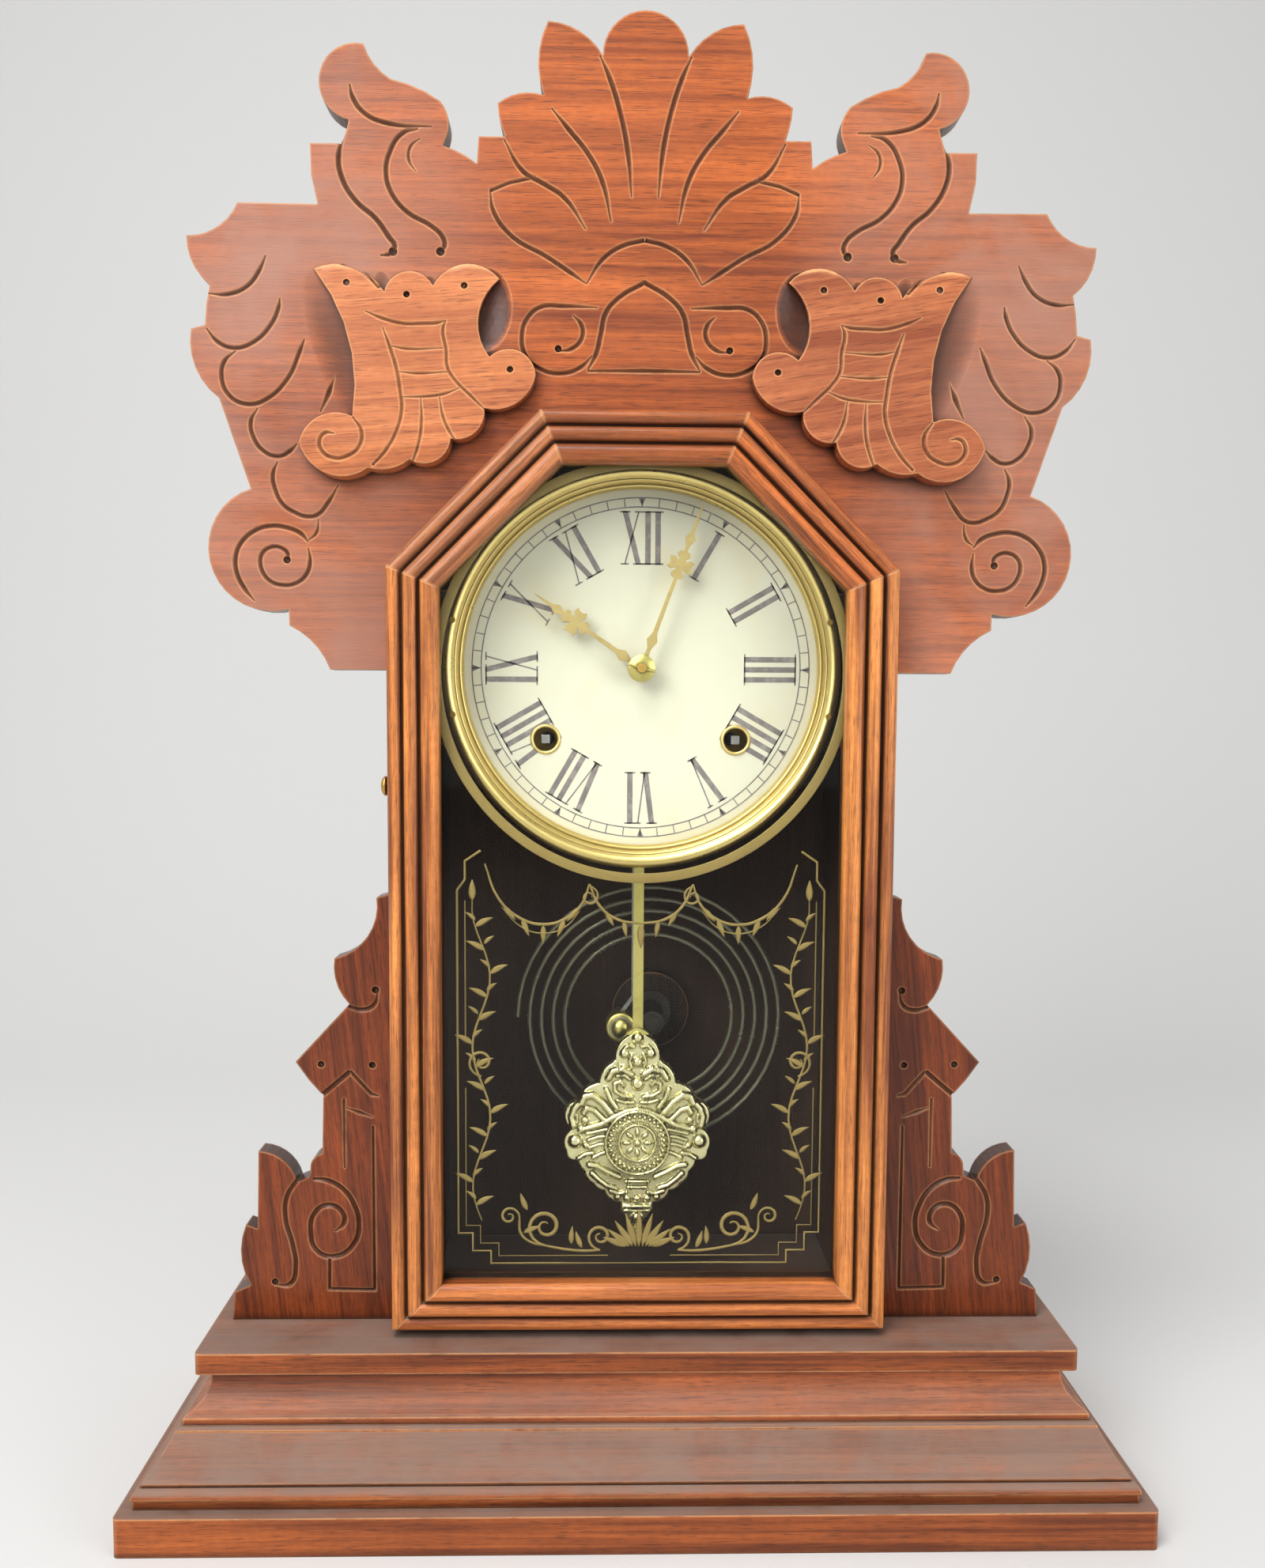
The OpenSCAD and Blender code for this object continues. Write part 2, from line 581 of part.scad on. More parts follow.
module plate_holes() {
    for (p = [second_time, third_time, escape, pin_place, warning_place, fly_place, hammer_place])
        rod_y(p, plate_y - cut, back_face + cut, pivot_r + run_fit);
    for (p = [wind_time, wind_strike]) rod_y(p, plate_y - cut, back_face + cut, winding_r + run_fit);
    rod_y(centre, plate_y - cut, back_face + cut, centre_r + run_fit);
    for (p = pillar_at) rod_y(p, plate_y - cut, back_face + cut, pillar_r / 2);
}
module movement_front_plate() color("khaki") {
    difference() {
        slab_y(plate_y, inside_y) difference() {
            polygon(plate_outline);
            translate([0, plate_low]) circle(r = plate_notch_r);
            translate([plate_hw - 2 * plate_eye_r, dial_z + plate_eye_r]) circle(r = plate_eye_r);
            translate([2 * plate_eye_r - plate_hw, dial_z + plate_eye_r]) circle(r = plate_eye_r);
        }
        plate_holes();
        rod_y(post_foot, plate_y - cut, inside_y + cut, post_r * 0.75);
        rod_y(verge_place, plate_y - cut, inside_y + cut, verge_pin_r);
    }
    // Stud of the minute wheel
    rod_y(motion_place, hour_wheel_y - 1, plate_y + 1, stud_pin_r);
    rod_y(motion_place, plate_y - 1.2, plate_y + 1, 2 * stud_pin_r);
}
module movement_back_plate() color("khaki") difference() {
    slab_y(back_plate_y, back_face) polygon(plate_outline);
    plate_holes();
}
// Pillars, with their nuts in front and their feet against the back board
module movement_pillars() color("goldenrod") for (p = pillar_at) {
    rod_y(p, inside_y, back_plate_y, pillar_r);
    rod_y(p, plate_y - 2, board_back, pillar_r / 2);
    translate([p[0], plate_y, p[1]]) rotate([90, 0, 0]) cylinder(h = 1.6, r = pillar_r, $fn = 6);
    rod_y(p, back_face, board_back, foot_r);
}

// Planes of the wheels, front to back
great_y = inside_y + 2;
ratchet_y = great_y + 2.4;
spring_y = ratchet_y + 3;
centre_wheel_y = inside_y + 14;
third_wheel_y = spring_y + spring_w + 1.5;
second_wheel_y = third_wheel_y + 2.8;
wheel_t = 1.4;

// Spiral strip of one mainspring round its arbor, with its outer end held by a stud
spring_in_r = winding_r + 2.2;
stud_r = 1.5;
stud_deg = -70;
function spiral_edge(r0, r1, turns, deg, side, t) =
    turned([r0 + (r1 - r0) * t + side, 0], deg - 360 * turns * (1 - t));
function spiral(r0, r1, turns, deg, width) = let (steps = turns * 20) concat(
    [for (i = [0:steps]) spiral_edge(r0, r1, turns, deg, width / 2, i / steps)],
    [for (i = [steps:-1:0]) spiral_edge(r0, r1, turns, deg, -width / 2, i / steps)]);
module mainspring(place) translate([place[0], 0, place[1]]) {
    slab_y(spring_y, spring_y + spring_w)
        polygon(spiral(spring_in_r, spring_r, spring_turns, stud_deg, spring_strip));
    stud = turned([spring_r + stud_r - spring_strip / 2, 0], stud_deg);
    rod_y(stud, spring_y - 0.8, back_plate_y, stud_r);
}
module mainsprings() color("steelblue") {
    mainspring(wind_time);
    mainspring(wind_strike);
}

// Main wheel, free on its winding arbor, with its click on a stud
ratchet_n = 14;
ratchet_r = 7;
module great_wheel(place, to) {
    hub = winding_r + 1.6;
    difference() {
        union() {
            gear(place, great_y, wheel_t, great_n, main_module, angle_to(place, to));
            rod_y(place, great_y - 1, great_y + wheel_t, hub);
        }
        rod_y(place, great_y - 1 - cut, great_y + wheel_t + cut, winding_r + run_fit);
        windows(place, great_y, wheel_t, 10.5, great_r - 4, 5);
    }
    click = place + [ratchet_r + 1.8, 0];
    rod_y(click, great_y, ratchet_y + 1.6, 1.1);
    translate([click[0], 0, click[1]]) slab_y(ratchet_y, ratchet_y + 1.2)
        polygon([[-0.9, -0.8], [0.9, -0.8], [0.6, 3.4], [-1, 4.6], [-1.2, 3]]);
}
module great_wheel_time() color("gold") great_wheel(wind_time, second_time);
module great_wheel_strike() color("gold") great_wheel(wind_strike, pin_place);

// Winding arbor with its square front end and its ratchet wheel
square_w = 3.3;
module winding_arbor(place) {
    rod_y(place, plate_y - 1.5, back_face, winding_r);
    translate([place[0] - square_w / 2, dial_face + 0.4, place[1] - square_w / 2])
        cube([square_w, plate_y - dial_face - 0.9, square_w]);
    translate([place[0], 0, place[1]]) slab_y(ratchet_y, ratchet_y + 1.4)
        polygon([for (i = [0:ratchet_n - 1]) each [turned([ratchet_r, 0], 360 * i / ratchet_n),
            turned([ratchet_r - 1.4, 0], 360 * (i + 0.12) / ratchet_n)]]);
}
module winding_arbor_time() color("silver") winding_arbor(wind_time);
module winding_arbor_strike() color("silver") winding_arbor(wind_strike);

module second_wheel_time() color("gold") {
    arbor(second_time, 1.6);
    pinion(wind_time, second_time, great_y, second_pinion_n, main_module);
    difference() {
        gear(second_time, second_wheel_y, wheel_t, second_n, second_module,
            angle_to(second_time, centre));
        windows(second_time, second_wheel_y, wheel_t, 5, 15.5, 5);
    }
}
module centre_arbor() color("gold") {
    difference() {
        rod_y(centre, minute_y - 3.4, back_face, centre_r);
        translate([0, minute_y, dial_z]) taper_pin(taper_r + run_fit);
    }
    difference() {
        gear(centre, centre_wheel_y, wheel_t, centre_n, train_module, angle_to(centre, third_time));
        windows(centre, centre_wheel_y, wheel_t, 5, 18, 5);
    }
    pinion(second_time, centre, second_wheel_y, centre_pinion_n, second_module);
    gear(centre, cannon_y, 2.4, cannon_n, motion_module, angle_to(centre, motion_place));
}
module third_wheel_time() color("gold") {
    arbor(third_time, 1);
    pinion(centre, third_time, centre_wheel_y, third_pinion_n, train_module);
    difference() {
        gear(third_time, third_wheel_y, wheel_t, third_n, train_module, angle_to(third_time, escape));
        windows(third_time, third_wheel_y, wheel_t, 4, 15, 5);
    }
}
// Escape wheel in front of the plate, with slanting teeth
escape_r = 13;
escape_y = plate_y - 5.4;
module escape_wheel() color("gold") {
    rod_y(escape, escape_y - 0.3, plate_y - 0.4, 1.2);
    rod_y(escape, escape_y, back_face, pivot_r);
    rod_y(escape, inside_y + 0.3, back_plate_y - 0.3, 0.95);
    pinion(third_time, escape, third_wheel_y, escape_pinion_n, train_module);
    difference() {
        translate([escape[0], 0, escape[1]]) slab_y(escape_y, escape_y + 1) polygon(
            [for (i = [0:escape_n - 1]) each [turned([escape_r, 0], 360 * i / escape_n),
                turned([escape_r - 2, 0], 360 * (i + 0.35) / escape_n)]]);
        windows(escape, escape_y, 1, 2.6, 10, 4);
    }
}

// Motion work
cannon_y = plate_y - 4.2;
hour_wheel_y = cannon_y - 4;
module minute_wheel() color("gold") {
    difference() {
        union() {
            gear(motion_place, cannon_y + 0.2, wheel_t, minute_n, motion_module,
                facing(centre, motion_place, minute_n));
            gear(motion_place, hour_wheel_y - 0.4, 4.8, hour_pinion_n, hour_module,
                angle_to(motion_place, centre));
        }
        rod_y(motion_place, hour_wheel_y - 0.4 - cut, inside_y, stud_pin_r + run_fit);
    }
}
module hour_wheel() color("gold") difference() {
    union() {
        gear(centre, hour_wheel_y, 1.6, hour_n, hour_module, facing(motion_place, centre, hour_n));
        rod_y(centre, hour_y - 0.6, hour_wheel_y + 1.6, pipe_r);
    }
    rod_y(centre, hour_y - cut - 0.6, hour_wheel_y + 1.6 + cut, pipe_bore);
}

// Strike train
warning_y = inside_y + 19;
fly_r = 9;
module pin_wheel() color("gold") {
    arbor(pin_place, 1.4);
    pinion(wind_strike, pin_place, great_y, pin_pinion_n, main_module);
    difference() {
        gear(pin_place, second_wheel_y, wheel_t, pin_n, train_module, angle_to(pin_place, warning_place));
        windows(pin_place, second_wheel_y, wheel_t, 4.5, 11, 4);
    }
    for (i = [0:7]) rod_y(pin_place + turned([13, 0], 45 * i + 15),
        second_wheel_y - 2.4, second_wheel_y + wheel_t / 2, 0.6);
}
module warning_wheel() color("gold") {
    arbor(warning_place, 1.1);
    pinion(pin_place, warning_place, second_wheel_y, warning_pinion_n, train_module);
    gear(warning_place, warning_y, wheel_t, warning_n, warning_module,
        angle_to(warning_place, fly_place));
}
module fly() color("gold") {
    arbor(fly_place, 0.9);
    pinion(warning_place, fly_place, warning_y, fly_pinion_n, warning_module);
    translate([fly_place[0] - fly_r, inside_y + 2, fly_place[1] - 0.3]) cube([2 * fly_r, fly_r, 0.6]);
}
// Hammer: its arbor, its tail towards the pins, its wire and its head in front of the gong
hammer_head = gong_place - [13.5, 0];
hammer_head_r = 6.2;
hammer_wire_y = post_front - 4;
// A flat bar from p to q, wp and wq wide at its ends
function bar(p, q, wp, wq) = let (u = (q - p) / norm(q - p), n = [-u[1], u[0]] / 2)
    [p + n * wp, p - n * wp, q - n * wq, q + n * wq];
module hammer() color("silver") {
    tail_y = second_wheel_y - 4.2;
    tail_t = 1.2;
    knee = [-1.5, plate_low - 10];
    low_knee = [-1.5, hammer_head[1] + 2 * hammer_head_r];
    neck = hammer_head + [0, hammer_head_r - 1];
    wire = 1.6;
    arbor(hammer_place, 1.1);
    rod_y(hammer_place, tail_y, tail_y + tail_t, 2);
    slab_y(tail_y, tail_y + tail_t) polygon(bar(hammer_place, hammer_place + [-16, 33], 3.4, 1.6));
    rod_y(hammer_place, hammer_wire_y, hammer_wire_y + wire, 2);
    slab_y(hammer_wire_y, hammer_wire_y + wire) {
        polygon(bar(hammer_place, knee, 3.4, wire));
        translate(knee) circle(r = wire / 2);
        polygon(bar(knee, low_knee, wire, wire));
        translate(low_knee) circle(r = wire / 2);
        polygon(bar(low_knee, neck, wire, wire));
    }
    rod_y(hammer_head, hammer_wire_y - 4, hammer_wire_y + 7, hammer_head_r);
    rod_y(hammer_head, hammer_wire_y - 5, hammer_wire_y, hammer_head_r - 1.6);
}

// Gong

block_t = 9;
block_r = 17;
flange_t = 2;
gong_inner_r = gong_r - gong_wire_r - gong_turns * gong_pitch;
gong_sides = 6;
gong_rings = 24;
gong_bend = 5;
// Points of the wire: out of the post, round a bend and then out along the turns
gong_start = -90;
gong_leg = gong_inner_r - gong_bend;
function on_leg(d) = [d * cos(gong_start), d * sin(gong_start)];
function gong_spiral(t) = turned([gong_inner_r + gong_pitch * t, 0], gong_start + 360 * t);
bend_t = gong_bend / gong_inner_r / 2 / PI * 1.02;
function gong_corner(t) = let (a = on_leg(gong_leg), b = on_leg(gong_inner_r), c = gong_spiral(bend_t))
    (1 - t) * (1 - t) * a + 2 * t * (1 - t) * b + t * t * c;
gong_line = concat([on_leg(gong_post_r - 1.5), on_leg(gong_leg * 0.55)],
    [for (i = [0:5]) gong_corner(i / 6)],
    [for (i = [0:floor((gong_turns - bend_t) * gong_rings)]) gong_spiral(bend_t + i / gong_rings)],
    [gong_spiral(gong_turns)]);
function along(p, i) = let (a = p[max(i - 1, 0)], b = p[min(i + 1, len(p) - 1)]) (b - a) / norm(b - a);
function ring(p, i) = let (u = along(p, i), n = [-u[1], u[0]]) [for (k = [0:gong_sides - 1])
    let (a = 360 * (k + 0.5) / gong_sides, s = gong_wire_r * cos(a)) [p[i][0] + n[0] * s,
        gong_wire_r * sin(a), p[i][1] + n[1] * s]];
gong_count = len(gong_line);
gong_points = [for (i = [0:gong_count - 1]) each ring(gong_line, i)];
function quad(i, k) = let (a = i * gong_sides + k, b = i * gong_sides + (k + 1) % gong_sides)
    [[a, b, b + gong_sides], [a, b + gong_sides, a + gong_sides]];
gong_faces = concat([for (i = [0:gong_count - 2], k = [0:gong_sides - 1]) each quad(i, k)],
    [for (k = [1:gong_sides - 2]) [0, k + 1, k]],
    [for (k = [1:gong_sides - 2]) let (e = (gong_count - 1) * gong_sides) [e, e + k, e + k + 1]]);
// Least distance between neighbouring turns, measured on the wire's points
gong_gap = min([for (i = [8:gong_count - 1 - gong_rings],
    j = [i + gong_rings - 4:min(i + gong_rings + 4, gong_count - 1)])
    norm(gong_line[i] - gong_line[j])]) - 2 * gong_wire_r;
echo(least_gap_between_gong_turns = gong_gap);

module gong_coil() color("slategray") translate([gong_place[0], gong_y, gong_place[1]])
    polyhedron(points = gong_points, faces = gong_faces);
module gong_post() color("dimgray") difference() {
    union() {
        rod_y(gong_place, post_front, board_back - block_t, gong_post_r);
        rod_y(gong_place, board_back - block_t - flange_t, board_back - block_t, gong_post_r + 4);
        rod_y(gong_place, post_front - 1.6, post_front + cut, gong_post_r * 0.6);
    }
    translate([gong_place[0], gong_y, gong_place[1] - gong_post_r - cut])
        cylinder(h = gong_post_r, r = gong_wire_r + 0.05);
}
module gong_block() color("burlywood") rod_y(gong_place, board_back - block_t, board_back, block_r);

// Pendulum

pendulum_y = plate_y - 11;
screw_end = 43.5;
bob_z = floor_z + pendulum_clear + screw_end;
spring_top = post_foot[1];
// Post that holds the suspension spring, and the pin that the verge turns on
module suspension_post() color("goldenrod") {
    difference() {
        union() {
            rod_y(post_foot, pendulum_y - 2, plate_y, post_r);
            rod_y(post_foot, plate_y - cut, inside_y, post_r * 0.75);
        }
        translate([-0.16, pendulum_y - 1.6, post_foot[1] - 3]) cube([0.32, 3.2, 3.4]);
    }
    rod_y(verge_place, verge_y - 1.4, inside_y, verge_pin_r);
}
module suspension_spring() color("silver")
    translate([-0.1, pendulum_y - 1.5, stem_top]) cube([0.2, 3, spring_top - stem_top]);
// Verge: a bent strip over the escape wheel, with a crutch that loops round the rod
verge_y = escape_y - 0.6;
verge_t = 2.2;
crutch_z = verge_place[1] - 30;
loop_gap = 0.25;
module verge() color("silver") {
    reach = escape_r + 1.4;
    difference() {
        union() {
            rod_y(verge_place, verge_y - 0.6, verge_y + verge_t, 2.2);
            translate([0, 0, escape[1]]) slab_y(verge_y, verge_y + verge_t)
                polygon(concat([for (a = [40:10:140]) turned([reach + 1.3, 0], a)],
                    [for (a = [140:-10:40]) turned([reach, 0], a)]));
        }
        rod_y(verge_place, verge_y - 0.6 - cut, verge_y + verge_t + cut, verge_pin_r + run_fit);
    }
    translate([-0.6, verge_y - 0.6, crutch_z - 1.2]) cube([1.2, 0.6, verge_place[1] - crutch_z - 0.3]);
    difference() {
        translate([-2.6, pendulum_y - 2.2, crutch_z - 1.2]) cube([5.2, verge_y - pendulum_y + 2.2, 1.2]);
        translate([-rod_w / 4 - loop_gap, pendulum_y - 1 - loop_gap, crutch_z - 1.2 - cut])
            cube([rod_w / 2 + 2 * loop_gap, 2 + 2 * loop_gap, 1.2 + 2 * cut]);
    }
}
// Outline of the bob's right half, from its neck round to the rod, measured from its middle
bob_edge = [[0, -34, 0], [2.6, -34, 0], [5.6, -30.4, 0], [6.6, -29.4, 0], [6.6, -25.8, 0],
    [9.8, -25.2, 0.3], [13.4, -20.9, 0.3], [18.2, -17.8, 0.3], [21.6, -12.8, 0.3], [24.6, -7.4, 0.2],
    [29.4, -3.8, 0.64], [27.5, 5, 0.42], [24.3, 18.3, 0.6], [15.7, 24.8, 0.3], [10, 33.5, 0.3],
    [9, 34.6, 0.5], [5.8, 43, 0.25], [0, 47.3, 0]];
// Length of the suspension spring below its axis, where the pendulum's wire takes hold of it
spring_hang = 7;
stem_top = verge_place[1] - spring_hang;
module pendulum_bob() color("gold") {
    translate([0, 0, bob_z]) {
        slab_y(pendulum_y - bob_t / 2, pendulum_y + bob_t / 2)
            polygon(both_sides(path(bob_edge)));
        translate([0, pendulum_y - bob_t / 2, 0]) rotate([90, 0, 0]) rotate_extrude()
            polygon(path([[0, -cut, 0], [medallion_r, -cut, 0], [medallion_r, 0, 0.5],
                [medallion_r - 2.6, 1.2, 0], [medallion_r - 3.4, 0.8, 0.5],
                [medallion_r - 5.8, 1.6, 0], [medallion_r - 6.6, 1.2, 0.2], [0, 2.8, 0], [0, -cut, 0]]));
    }
    // Flat rod, and the wire above it that hangs in the suspension spring
    translate([-rod_w / 2, pendulum_y - 0.8, bob_z + 45]) cube([rod_w, 1.6, crutch_z - 6 - bob_z - 45]);
    difference() {
        translate([-rod_w / 4, pendulum_y - 1, crutch_z - 8])
            cube([rod_w / 2, 2, stem_top + 10.5 - crutch_z]);
        translate([-0.12, pendulum_y - 1.6, stem_top]) cube([0.24, 3.2, 4]);
    }
    // Screwed end below the bob
    translate([0, pendulum_y, bob_z - screw_end]) cylinder(h = 10.5, r = screw_r);
}
screw_r = 1.1;
module rating_nut() color("gold") translate([0, pendulum_y, bob_z - 38]) difference() {
    union() {
        cylinder(h = 2.4, r = 3.1);
        cylinder(h = 3.4, r = 2);
    }
    translate([0, 0, -cut]) cylinder(h = 3.4 + 2 * cut, r = screw_r + run_fit);
}

// Door

door_outer = hood(0, door_z);
door_inner = hood(member_w, door_z + member_w);
// Cross-section of a member, from its outer edge inwards and from its back forwards
reed_2 = 6.3;
reed_3 = 12.8;
member_profile = path([[0, 0, 0], [member_w - rabbet_w, 0, 0], [member_w - rabbet_w, rabbet_d, 0],
    [member_w, rabbet_d, 0], [member_w, door_t - 5, 0], [member_w, door_t - 3.4, 0.75],
    [reed_3, door_t - 3.2, 0], [reed_3 - 0.4, door_t - 4.4, 0], [reed_3 - 0.8, door_t - 4, 0.8],
    [reed_2, door_t - 4.6, 0], [reed_2 - 0.4, door_t - 5.8, 0], [reed_2 - 0.8, door_t - 5.4, 0.75],
    [0, door_t - 6.4, 0], [0, 0, 0]]);
module door_member(i) {
    from = door_outer[i];
    to = door_outer[(i + 1) % 6];
    len = norm(to - from);
    d = (to - from) / len;
    n = [-d[1], d[0]];
    over = member_w * 2;
    intersection() {
        multmatrix([[n[0], 0, d[0], from[0] - d[0] * over], [0, -1, 0, door_back],
            [n[1], 0, d[1], from[1] - d[1] * over], [0, 0, 0, 1]])
            linear_extrude(len + 2 * over) polygon(member_profile);
        slab_y(door_front - cut, door_back + cut) polygon(board(door_outer, door_inner, i));
    }
}
module door_bottom_rail() color("chocolate") door_member(0);
module door_shoulder_right() color("chocolate") door_member(2);
module door_top_rail() color("chocolate") door_member(3);
module door_shoulder_left() color("chocolate") door_member(4);
module door_stile_right() color("chocolate") difference() {
    door_member(1);
    for (h = hinge_up) {
        translate([hinge_x - leaf_w - 0.5, door_back - leaf_t, door_z + h - 0.3])
            cube([leaf_w + cut, leaf_t + cut, hinge_len + 0.6]);
        translate([hinge_x, hinge_y, door_z + h - 0.3])
            cylinder(h = hinge_len + 0.6, r = knuckle_r + 0.3);
    }
}
module door_stile_left() color("chocolate") difference() {
    door_member(5);
    rod_x(-door_hw - cut, tongue_x + tongue_w + tongue_gap, shaft_y, knob_z, knob_shaft_r + run_fit);
    translate([tongue_x - tongue_gap, shaft_y - 3, knob_z - tongue_len - 1.5])
        cube([tongue_w + 2 * tongue_gap, 8, tongue_len + 5]);
}
glass_y = door_back - rabbet_d;
module door_glass() color([0.8, 0.9, 0.9, 0.3]) slab_y(glass_y, glass_y + glass_t)
    polygon(hood(member_w - rabbet_w + glass_fit, door_z + member_w - rabbet_w + glass_fit));
// Wood strips behind the glass, mitred like the door
strip_in = 4.4;
strip_outer = hood(member_w - rabbet_w, door_z + member_w - rabbet_w);
strip_inner = hood(member_w - rabbet_w + strip_in, door_z + member_w - rabbet_w + strip_in);
module glass_strips() color("burlywood") for (i = [0:5])
    slab_y(glass_y + glass_t, door_back - 1) polygon(board(strip_outer, strip_inner, i));

// Hinges: three knuckles round a pin, the middle one on the door
knuckle_gap = 0.15;
mid_len = hinge_len / 3;
module case_hinge_leaves() color("goldenrod") for (h = hinge_up)
    translate([hinge_x, hinge_y, door_z + h]) {
    for (z = [0, hinge_len - mid_len]) {
        translate([0, 0, z]) cylinder(h = mid_len, r = knuckle_r);
        translate([-leaf_w, door_gap_y / 2, z]) cube([leaf_w, leaf_t, mid_len]);
    }
    translate([-leaf_w, door_gap_y / 2, 0]) cube([leaf_w - knuckle_r - 0.1, leaf_t, hinge_len]);
    cylinder(h = hinge_len, r = hinge_pin_r);
}
module door_hinge_leaves() color("goldenrod") for (h = hinge_up)
    translate([hinge_x, hinge_y, door_z + h]) difference() {
    union() {
        translate([0, 0, mid_len + knuckle_gap]) cylinder(h = mid_len - 2 * knuckle_gap, r = knuckle_r);
        translate([-leaf_w, -door_gap_y / 2 - leaf_t, mid_len + knuckle_gap])
            cube([leaf_w, leaf_t, mid_len - 2 * knuckle_gap]);
        translate([-leaf_w, -door_gap_y / 2 - leaf_t, 0])
            cube([leaf_w - knuckle_r - 0.4, leaf_t, hinge_len]);
    }
    translate([0, 0, -cut]) cylinder(h = hinge_len + 2 * cut, r = hinge_pin_r + run_fit);
}

// Latch: a knob on the door's left edge turns a hooked tongue onto a pin in the case
module latch_knob() color("gold") {
    rod_x(-door_hw - 1, tongue_x + tongue_w, shaft_y, knob_z, knob_shaft_r);
    translate([-door_hw - 0.1, shaft_y, knob_z]) rotate([0, -90, 0]) rotate_extrude()
        polygon(path([[0, 0, 0], [knob_shaft_r + 0.6, 0, 0], [knob_shaft_r + 0.3, 0.7, 0],
            [knob_r, 1.1, 0.4], [knob_r, knob_out - 0.9, 0.3], [0, knob_out - 0.1, 0], [0, 0, 0]]));
    // The tongue hangs down, clear of the case; turned up it hooks behind the pin
    translate([tongue_x, shaft_y, knob_z]) rotate([90, 0, 90]) linear_extrude(tongue_w)
        polygon([[-1.5, 0.4], [-1.5, -tongue_len], [2.2, -tongue_len], [2.2, -tongue_len + 1.2],
            [0.1, -tongue_len + 1.3], [0.1, -1], [1.5, -0.6], [1.5, 0.4]]);
}
module latch_strike() color("goldenrod")
    rod_x(-case_hw, -inner_hw, strike_y, strike_z, strike_r);

bottom_board();
base_moulding();
cove_moulding();
base_back_rail();
top_slab();
case_sides();
case_shoulders();
case_top();
back_board();
crest_board();
crest_harp_left();
crest_harp_right();
wing_left();
wing_right();
dial_cleats();
dial_plate();
dial_bezel();
winding_grommets();
dial_nails();
movement_front_plate();
movement_back_plate();
movement_pillars();
mainsprings();
suspension_post();
gong_block();
gong_post();
gong_coil();
case_hinge_leaves();
latch_strike();
door_top_rail();
door_shoulder_left();
door_shoulder_right();
door_stile_left();
door_stile_right();
door_bottom_rail();
door_glass();
glass_strips();
door_hinge_leaves();
latch_knob();
centre_arbor();
minute_hand();
hand_washer();
hour_wheel();
hour_hand();
minute_wheel();
great_wheel_time();
second_wheel_time();
third_wheel_time();
escape_wheel();
winding_arbor_time();
great_wheel_strike();
pin_wheel();
warning_wheel();
fly();
winding_arbor_strike();
hammer();
suspension_spring();
pendulum_bob();
rating_nut();
verge();
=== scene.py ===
# %% [markdown]
# # A parlor clock
# This clock stands on a shelf. Its walnut case carries a carved crest and two wings, a door
# with three rounded reeds frames the glass, and behind it are a paper dial, a swinging
# pendulum and a coiled gong. The CAD model gives every board, wheel and hand its place.
# Here the boards get their carving, the brass its relief and every surface its finish.
# We load the CAD model first. The finished clock has to fill the same space. The clock's
# lengths are in millimetres, and MM turns them into metres; the camera, the lamps and the
# textures are in metres from the start.

# %% Load the clock
import math
import bmesh
import bpy
import numpy as np
from mathutils import Euler, Matrix, Vector


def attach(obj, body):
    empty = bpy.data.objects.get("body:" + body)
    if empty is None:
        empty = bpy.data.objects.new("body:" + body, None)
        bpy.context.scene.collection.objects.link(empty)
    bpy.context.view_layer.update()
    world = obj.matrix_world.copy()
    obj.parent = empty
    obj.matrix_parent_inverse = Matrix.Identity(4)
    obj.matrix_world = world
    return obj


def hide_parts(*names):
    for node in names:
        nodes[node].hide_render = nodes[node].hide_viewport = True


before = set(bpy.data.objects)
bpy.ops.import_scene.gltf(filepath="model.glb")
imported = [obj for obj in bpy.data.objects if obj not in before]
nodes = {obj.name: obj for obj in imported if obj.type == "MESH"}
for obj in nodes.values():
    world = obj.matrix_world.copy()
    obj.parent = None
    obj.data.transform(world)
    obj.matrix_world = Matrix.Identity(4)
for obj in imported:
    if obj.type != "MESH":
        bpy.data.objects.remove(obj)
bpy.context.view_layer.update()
MM = 0.001
print("nodes of the clock:", len(nodes))

# %% [markdown]
# ## The camera
# The photograph was taken from in front of the clock, a little to the left and about level
# with its middle. We could frame the clock by eye, but every groove of the carving is placed
# by a pixel of the photograph, so the camera has to be the photograph's own. Its place came
# from the clock's long straight edges, whose directions in the picture fix where it stood.
# The helper spot() runs the other way: from a pixel to a point on an upright plane.

# %% Camera
EYE = Vector((-0.01405, -0.51520, 0.30180))
GAZE = Euler([math.radians(a) for a in (85.406, -0.349, -1.219)])
PIXELS_PER_UNIT = 1640
MIDDLE_PIXEL = (800, 1037)
lens = bpy.data.cameras.new("camera")
lens.sensor_width = 36
lens.lens = 29.773
lens.shift_y = 0.02294
lens.clip_start = 0.01


def link(obj):
    bpy.context.scene.collection.objects.link(obj)
    return obj


camera = link(bpy.data.objects.new("camera", lens))
camera.location = EYE
camera.rotation_euler = GAZE
bpy.context.scene.camera = camera


def spot(px, py, depth):
    """Where the photograph's pixel lies on the plane y = depth: x and z in millimetres."""
    ray = Vector(((px - MIDDLE_PIXEL[0]) / PIXELS_PER_UNIT,
                  (MIDDLE_PIXEL[1] - py) / PIXELS_PER_UNIT, -1))
    ray.rotate(GAZE)
    hit = EYE + ray * (depth * MM - EYE.y) / ray.y
    return hit.x / MM, hit.z / MM


print("middle of the dial in the picture's plane:", spot(809, 850, -6))

# %% [markdown]
# ## Tools for materials
# A finish is a small net of shader nodes. Written out one node at a time it gets long, so
# short helpers add a node and feed its inputs: add() for any node, calc() and times() for
# arithmetic, tint() for mixing two colours, span() for stretching a range of values, and
# cloudy() for noise, which grainy() draws out along one way. An effect that several
# finishes share is a node group, made by effect() and placed by use().

